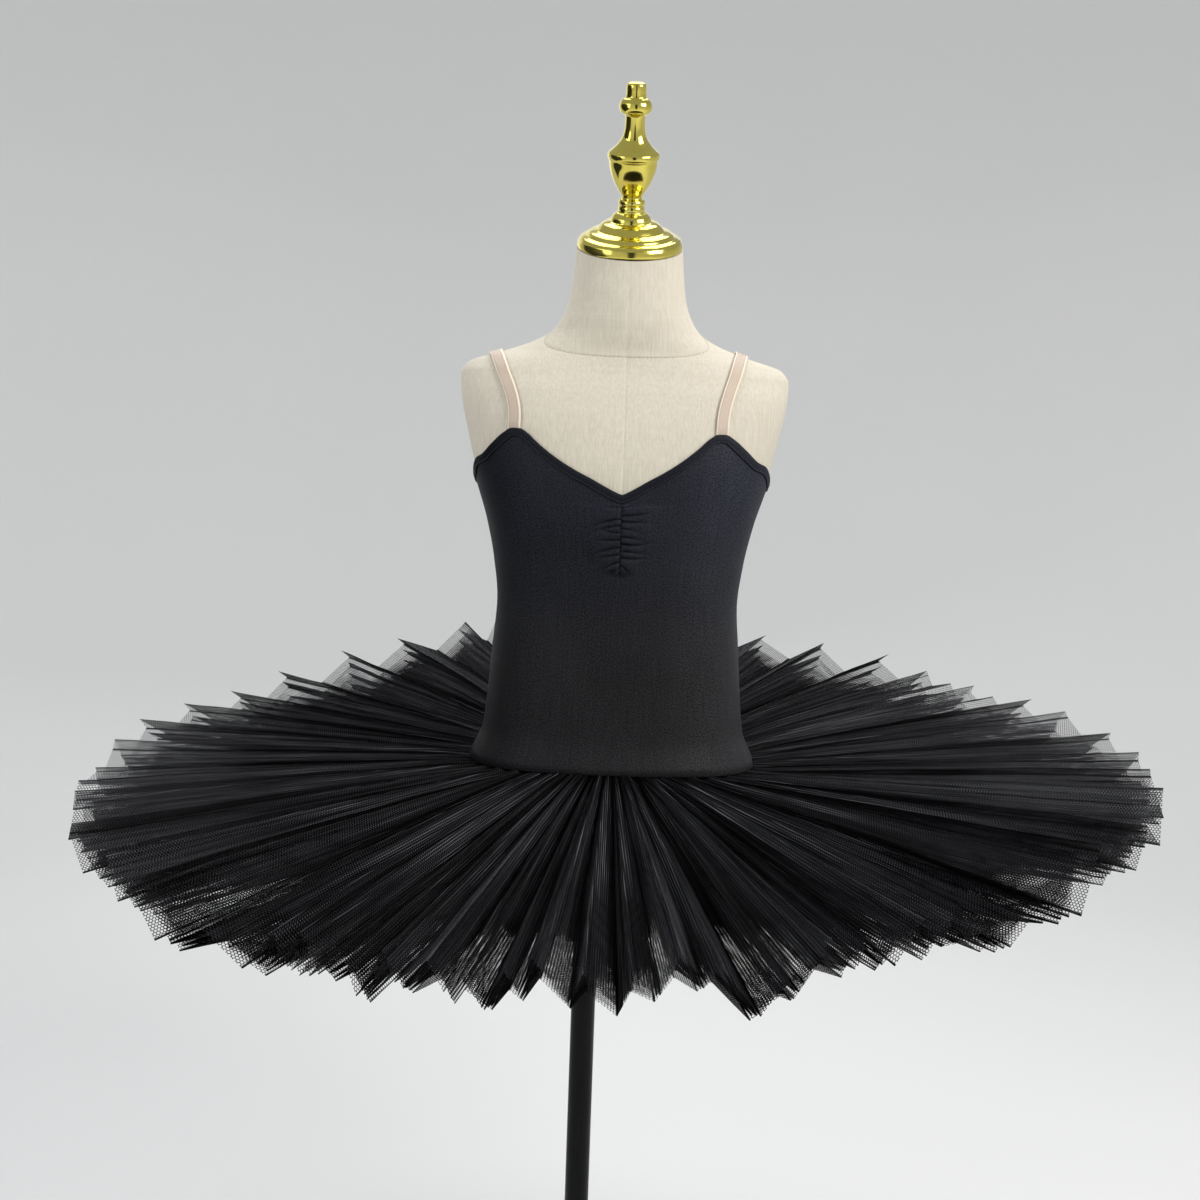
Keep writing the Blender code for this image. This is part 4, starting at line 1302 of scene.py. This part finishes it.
def netMesh(name, layer, folds, finish):
    shares, lifts, reaches = np.array(finePleats(folds, layer)).T
    count = len(shares)
    shares = np.append(shares, 1.0)
    lifts, reaches = np.append(lifts, lifts[0]), np.append(reaches, reaches[0])
    rowHeight = net["firstRow"] - layer * net["rowStep"]
    hip = hipAngles(rowHeight, shares)
    inner = bodyPoint(hip, rowHeight + net["rowRise"] + net["hemFollow"] * hemRise(hip), net["innerOff"])
    angles = 2 * np.pi * shares
    radius, height = netEdge(layer, angles, reaches)
    outer = np.stack([net["centreX"] + radius * np.sin(angles), -radius * np.cos(angles), height], axis=-1)
    edgeLift = lifts * net["foldEdge"] / 2 * net["tall"][layer]
    tips = outer + np.stack([0 * edgeLift, 0 * edgeLift, edgeLift], axis=-1)
    widths = np.append(np.linalg.norm(np.diff(tips, axis=0), axis=1), 0.0)
    source = bpy.data.meshes.new(name + "Folds")
    source.from_pydata(inner.tolist(), [], [])
    for key, values in (
        ("hipLift", np.clip(lifts, -1, 1) * net["foldHip"] / 2),
        ("edgeLift", edgeLift),
        ("raised", lifts),
        ("width", widths),
        ("place", np.concatenate([[0], np.cumsum(widths[:-1])])),
        ("bend", net["bend"][0] + net["bend"][1] * np.cos(angles)),
    ):
        source.attributes.new(key, "FLOAT", "POINT").data.foreach_set("value", values.astype(np.float32))
    edge = source.attributes.new("outer", "FLOAT_VECTOR", "POINT")
    edge.data.foreach_set("vector", outer.astype(np.float32).ravel())
    same = {key: net[key] for key in ("rows", "crease", "buckle", "ripple", "gathered")}
    mesh = grown(
        pleatedNet, name, source, foldCount=count, header=net["header"] / net["width"],
        depth=net["flatWidth"], seed=float(layer), finish=finish, **same,
    )
    mesh.shade_smooth()
    mesh.set_sharp_from_angle(angle=math.radians(net["sharpFrom"]))
    return mesh


folds = mainFolds()
upperNet, lowerNet = netMaterial("upperNet", upperThreads), netMaterial("lowerNet", lowerThreads)
for layer in range(net["layers"]):
    name, cloth = f"netLayer{layer + 1}", upperNet if layer < 2 else lowerNet
    mesh = netMesh(name, layer, folds, cloth)
    addPiece(name, mesh, cloth, [f"net_layer_{layer + 1}"])

# Dress form
form = {
    "neckTilt": math.radians(25),
    "tiltFrom": 0.366,
    "neckSeam": 0.349,          # mean height of the seam round the neck
    "seamSide": 0.3605,
    "seamFrontDrop": 0.0255,
    "seamBackDrop": 0.007,
    "seamDepth": 0.0007,
    "seamWidth": 0.0007,
    "seamSpread": 0.025,        # how far above and below the mesh's rows follow the seam
    "centreSeam": (0.0004, 0.0008),   # depth and width
    "fineFrom": 0.29,           # rows lie closer from here up
    "stitch": (0.0034, 0.0022, 0.0005),
}


def neckSeam(angles):
    front, back = np.maximum(0, np.cos(angles)) ** 1.3, np.maximum(0, -np.cos(angles)) ** 1.3
    return form["seamSide"] - form["seamFrontDrop"] * front - form["seamBackDrop"] * back


# Turns a ring of the form about its centre as the neck leans forward
def leaned(ring, height):
    tilt = form["neckTilt"] * ease((height - form["tiltFrom"]) / (bodySections[-1][0] - form["tiltFrom"]))
    behind = ring[:, 1] - bodySection(height)[2]
    return ring + np.stack([0 * behind, -behind * (1 - np.cos(tilt)), behind * np.sin(tilt)], axis=-1)


def formMesh():
    centre = angleAt(np.array([0.0, 0.0005, 0.0011, 0.0020]), 0.28)
    quarter = np.concatenate([centre, np.linspace(centre[-1], math.pi / 2, 40)[1:]])
    half = np.concatenate([quarter, (math.pi - quarter[::-1])[1:]])
    angles = np.concatenate([half, (2 * math.pi - half[::-1])[1:-1]])
    fine = form["neckSeam"] + np.array([-3, -2, -1.3, -0.8, -0.4, 0, 0.4, 0.8, 1.3, 2, 3]) / 1000
    heights = np.concatenate([
        np.linspace(formBottom + formCorner, form["fineFrom"], 56)[:-1],
        np.linspace(form["fineFrom"], fine[0], 46)[:-1],
        fine,
        np.linspace(fine[-1], bodySections[-1][0], 36)[1:],
    ])
    # Underneath and round the lower edge, up the body, and over the neck's top
    turns = np.radians(np.linspace(0, 90, 8)[:-1])
    underneath = bodyPoint(angles, formBottom, -formCorner)
    rows = [blend(underneath, underneath.mean(axis=0), share) for share in (0.72, 0.44, 0.20)]
    rows[:0] = [np.tile(rows[0].mean(axis=0), (len(angles), 1))]
    for turn in turns:
        height, inset = formBottom + formCorner * (1 - np.cos(turn)), formCorner * (1 - np.sin(turn))
        rows.append(bodyPoint(angles, height, -inset))
    for height in heights:
        near = math.exp(-(((height - form["neckSeam"]) / form["seamSpread"]) ** 2))
        height = height + near * (neckSeam(angles) - form["neckSeam"])
        across = bodyPoint(angles, height)[:, 0]
        groove = form["seamDepth"] * np.exp(-(((height - neckSeam(angles)) / form["seamWidth"]) ** 2))
        depth, width = form["centreSeam"]
        groove = groove + depth * np.exp(-((across / width) ** 2))
        rows.append(leaned(bodyPoint(angles, height, -groove), height))
    top = rows[-1]
    rows += [blend(top, top.mean(axis=0), share) for share in (0.05, 0.4, 0.8, 1.0)]
    mesh = surfaceMesh("dressForm", np.array(rows), closed=True)
    weld(mesh)
    return mesh


addPiece("dressForm", formMesh(), linenMaterial(), ["dress_form"])
around = np.radians(np.linspace(0, 360, 241))
seamLine = bodyPoint(around, neckSeam(around) + 0.0001, -0.0003)
stitched("neckStitches", [seamLine], linenThread, form["stitch"])
print("dress form made")

# Finial, and the stand below the form: radius and height
finialProfile = [
    (0.0000, 0.1271), (0.0040, 0.1270), (0.0066, 0.1261), (0.0079, 0.1242), (0.0080, 0.1170),
    (0.0084, 0.1156), (0.0104, 0.1144), (0.0124, 0.1119), (0.0132, 0.1089), (0.0127, 0.1062),
    (0.0113, 0.1042), (0.0084, 0.1028), (0.0079, 0.1018), (0.0079, 0.0965), (0.0081, 0.0920),
    (0.0095, 0.0862), (0.0134, 0.0806), (0.0180, 0.0766), (0.0206, 0.0746), (0.0210, 0.0724),
    (0.0208, 0.0706), (0.0197, 0.0690), (0.0195, 0.0676), (0.0191, 0.0628), (0.0170, 0.0560),
    (0.0139, 0.0496), (0.0105, 0.0441), (0.0082, 0.0409), (0.0080, 0.0398), (0.0102, 0.0385),
    (0.0110, 0.0366), (0.0108, 0.0350), (0.0100, 0.0337), (0.0108, 0.0324), (0.0110, 0.0308),
    (0.0106, 0.0291), (0.0128, 0.0278), (0.0154, 0.0255), (0.0167, 0.0230), (0.0168, 0.0215),
    (0.0176, 0.0210), (0.0222, 0.0201), (0.0252, 0.0177), (0.0274, 0.0150), (0.0282, 0.0141),
    (0.0326, 0.0132), (0.0348, 0.0118), (0.0360, 0.0101), (0.0368, 0.0094), (0.0396, 0.0089),
    (0.0420, 0.0069), (0.0433, 0.0043), (0.0438, 0.0014), (0.0434, 0.0000), (0.0000, 0.0000),
]
stand = {
    "x": -0.017,
    "gap": 0.0004,
    "pole": 0.0105,
    "collar": 0.0145,
    "collarLength": 0.034,
    "collarGroove": (0.0073, 0.0095, 0.0008),   # from and to, above the collar's lower end, and depth
    "boss": 0.022,
    "bossTop": 0.026,
    "base": 0.155,
    "baseHeight": 0.010,
    "round": 0.0015,        # of the collar's ends
    "poleRound": 0.0008,
}


# Rounds a profile's corners, twice over
def softened(profile, times=2):
    for _ in range(times):
        soft = [profile[0]]
        for a, b in zip(profile, profile[1:]):
            soft += [tuple(blend(np.array(a), np.array(b), share)) for share in (0.25, 0.75)]
        profile = soft + [profile[-1]]
    return profile


gold, paint = goldMaterial(), paintMaterial()
neckHeight, _, _, neckY, _ = bodySections[-1]
mesh = turnedMesh("neckFinial", softened(finialProfile), (0, 0, stand["gap"]), 96)
neckTop = Matrix.Translation((0, neckY, neckHeight + hipHeight))
mesh.transform(neckTop @ Matrix.Rotation(form["neckTilt"], 4, "X"))
addPiece("neckFinial", mesh, gold, ["finial"])


# A black painted piece of the stand, turned round the pole's line
def addTurned(name, profile, steps, node):
    addPiece(name, turnedMesh(name, profile, (stand["x"], 0, 0), steps), paint, [node])


radius, corner = stand["collar"], stand["round"]
collarTop = hipHeight + formBottom - stand["gap"]
collarLow = collarTop - stand["collarLength"]
grooveLow, grooveTop, grooveDepth = stand["collarGroove"]
addTurned("poleCollar", [
    (0, collarTop), (radius - corner, collarTop), (radius, collarTop - corner),
    (radius, collarLow + grooveTop), (radius - grooveDepth, collarLow + 0.0088),
    (radius - grooveDepth, collarLow + 0.0080), (radius, collarLow + grooveLow),
    (radius, collarLow + corner), (radius - corner, collarLow), (0, collarLow),
], 72, "pole_collar")

radius, corner = stand["pole"], stand["poleRound"]
poleLow, poleTop = stand["bossTop"] + stand["gap"], collarLow - stand["gap"]
side = [(radius, blend(poleTop, poleLow, share)) for share in np.linspace(0.01, 0.99, 20)]
addTurned("standPole", [
    (0, poleTop), (radius - corner, poleTop), (radius, poleTop - corner), *side,
    (radius, poleLow + corner), (radius - corner, poleLow), (0, poleLow),
], 72, "pole")

radius, height = stand["base"], stand["baseHeight"]
boss, bossTop = stand["boss"], stand["bossTop"]
addTurned("basePlate", [
    (0, bossTop), (boss - 0.0035, bossTop), (boss - 0.0015, bossTop - 0.0005),
    (boss - 0.0004, bossTop - 0.0015), (boss, bossTop - 0.003), (boss, height + 0.0015),
    (boss + 0.0005, height + 0.0004), (boss + 0.002, height), (0.08, height), (radius - 0.004, height),
    (radius - 0.002, height - 0.0005), (radius - 0.0006, height - 0.0018), (radius, height - 0.0035),
    (radius, 0.0006), (radius - 0.0006, 0), (0, 0),
], 128, "base_plate")
print("stand made")

# Studio: a pale bowl, soft lights and the camera
studio = {
    "floor": (0.80, 0.80, 0.79),
    "floorShade": 0.97,
    "bowlFlat": 2.2,
    "bowlRound": 1.6,
    "bowlTop": 3.0,
    "world": 0.42,
    "worldColour": (0.93, 0.96, 1.0, 1.0),
    # Place, what it points at, size, power, colour
    "lights": {
        "keyLight": ((1.9, -1.4, 2.2), (0, 0, 0.85), (1.3, 1.3), 50.0, (1.0, 0.985, 0.96)),
        "fillLight": ((-1.9, -1.3, 1.6), (0, 0, 0.85), (1.4, 1.6), 15.0, (0.93, 0.96, 1.0)),
        "topLight": ((0.0, 0.6, 2.9), (0, 0, 0.80), (1.8, 1.4), 30.0, (0.97, 0.98, 1.0)),
        "backLight": ((-0.6, 2.2, 1.9), (0, 0, 0.80), (2.8, 1.8), 9.0, (1.0, 1.0, 1.0)),
    },
    # Dark cards seen only in reflections: x, y, width, turn
    "cards": {"sideCard": (-1.7, -0.2, 2.0, 90), "rearCard": (0.12, -2.0, 0.55, 0)},
    "cardMiddle": 1.05,
    "cardHeight": 2.0,
    "lens": 36.0,
    "sensor": 36.0,
    "cameraPlace": (-0.0145, -1.02, 0.930),
    "cameraTurn": (84.67, 0.0, 2.0),
}


# Something in the studio that isn't part of the object
def addStage(name, mesh, finish):
    mesh.materials.append(finish)
    thing = bpy.data.objects.new(name, mesh)
    bpy.context.collection.objects.link(thing)
    thing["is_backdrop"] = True
    return thing


def studioMaterial(name, roughness, dark, light, scale, specular):
    made, tree, sockets = newMaterial(name, roughness, Specular_IOR_Level=specular)
    put(tree, sockets["Base Color"], toned(tree, noise(tree, objectPlace(tree), scale), dark, light))
    return made


def addLight(name, place, target, size, power, colour):
    lamp = bpy.data.lights.new(name, "AREA")
    lamp.shape = "RECTANGLE"
    lamp.size, lamp.size_y = size
    lamp.energy = power
    lamp.color = colour
    holder = bpy.data.objects.new(name, lamp)
    holder.location = place
    aim = np.subtract(target, place)
    holder.rotation_euler = (math.atan2(math.hypot(aim[0], aim[1]), -aim[2]), 0, math.atan2(-aim[0], aim[1]))
    bpy.context.collection.objects.link(holder)


flat, bend = studio["bowlFlat"], studio["bowlRound"]
bowlProfile = [(0, 0), (1.0, 0), (flat, 0)]
for turn in np.radians(np.arange(7.5, 91, 7.5)):
    bowlProfile.append((flat + bend * math.sin(turn), bend - bend * math.cos(turn)))
bowlProfile.append((flat + bend, studio["bowlTop"]))
bowlMesh = turnedMesh("studioBowl", bowlProfile, (0, 0, 0), 96)
bowlMesh.flip_normals()
shaded = tuple(channel * studio["floorShade"] for channel in studio["floor"])
addStage("studioBowl", bowlMesh, studioMaterial("studioPaint", 0.85, shaded, studio["floor"], 1.2, 0.2))

cardPaint = studioMaterial("cardPaint", 0.9, (0.004, 0.004, 0.004), (0.02, 0.02, 0.02), 3.0, 0.5)
for name, (x, y, width, turn) in studio["cards"].items():
    across = (width / 2) * np.array([math.cos(math.radians(turn)), math.sin(math.radians(turn)), 0])
    up = np.array([0, 0, studio["cardHeight"] / 2])
    low, high = (np.array([x, y, studio["cardMiddle"]]) + way * up for way in (-1, 1))
    cardMesh = surfaceMesh(name, np.array([[low - across, low + across], [high - across, high + across]]))
    card = addStage(name, cardMesh, cardPaint)
    card.visible_camera = card.visible_diffuse = card.visible_shadow = card.visible_transmission = False

world = bpy.data.worlds.new("studioWorld")
bpy.context.scene.world = world
world.use_nodes = True
sky = world.node_tree.nodes["Background"]
sky.inputs["Color"].default_value = studio["worldColour"]
sky.inputs["Strength"].default_value = studio["world"]
for name, settings in studio["lights"].items():
    addLight(name, *settings)

lens = bpy.data.cameras.new("camera")
lens.lens, lens.sensor_width = studio["lens"], studio["sensor"]
camera = bpy.data.objects.new("camera", lens)
camera.location = studio["cameraPlace"]
camera.rotation_mode = "ZYX"
camera.rotation_euler = [math.radians(turn) for turn in studio["cameraTurn"]]
bpy.context.collection.objects.link(camera)
bpy.context.scene.camera = camera
bpy.context.scene.view_settings.view_transform = "Standard"
print("studio ready")

low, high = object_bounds()
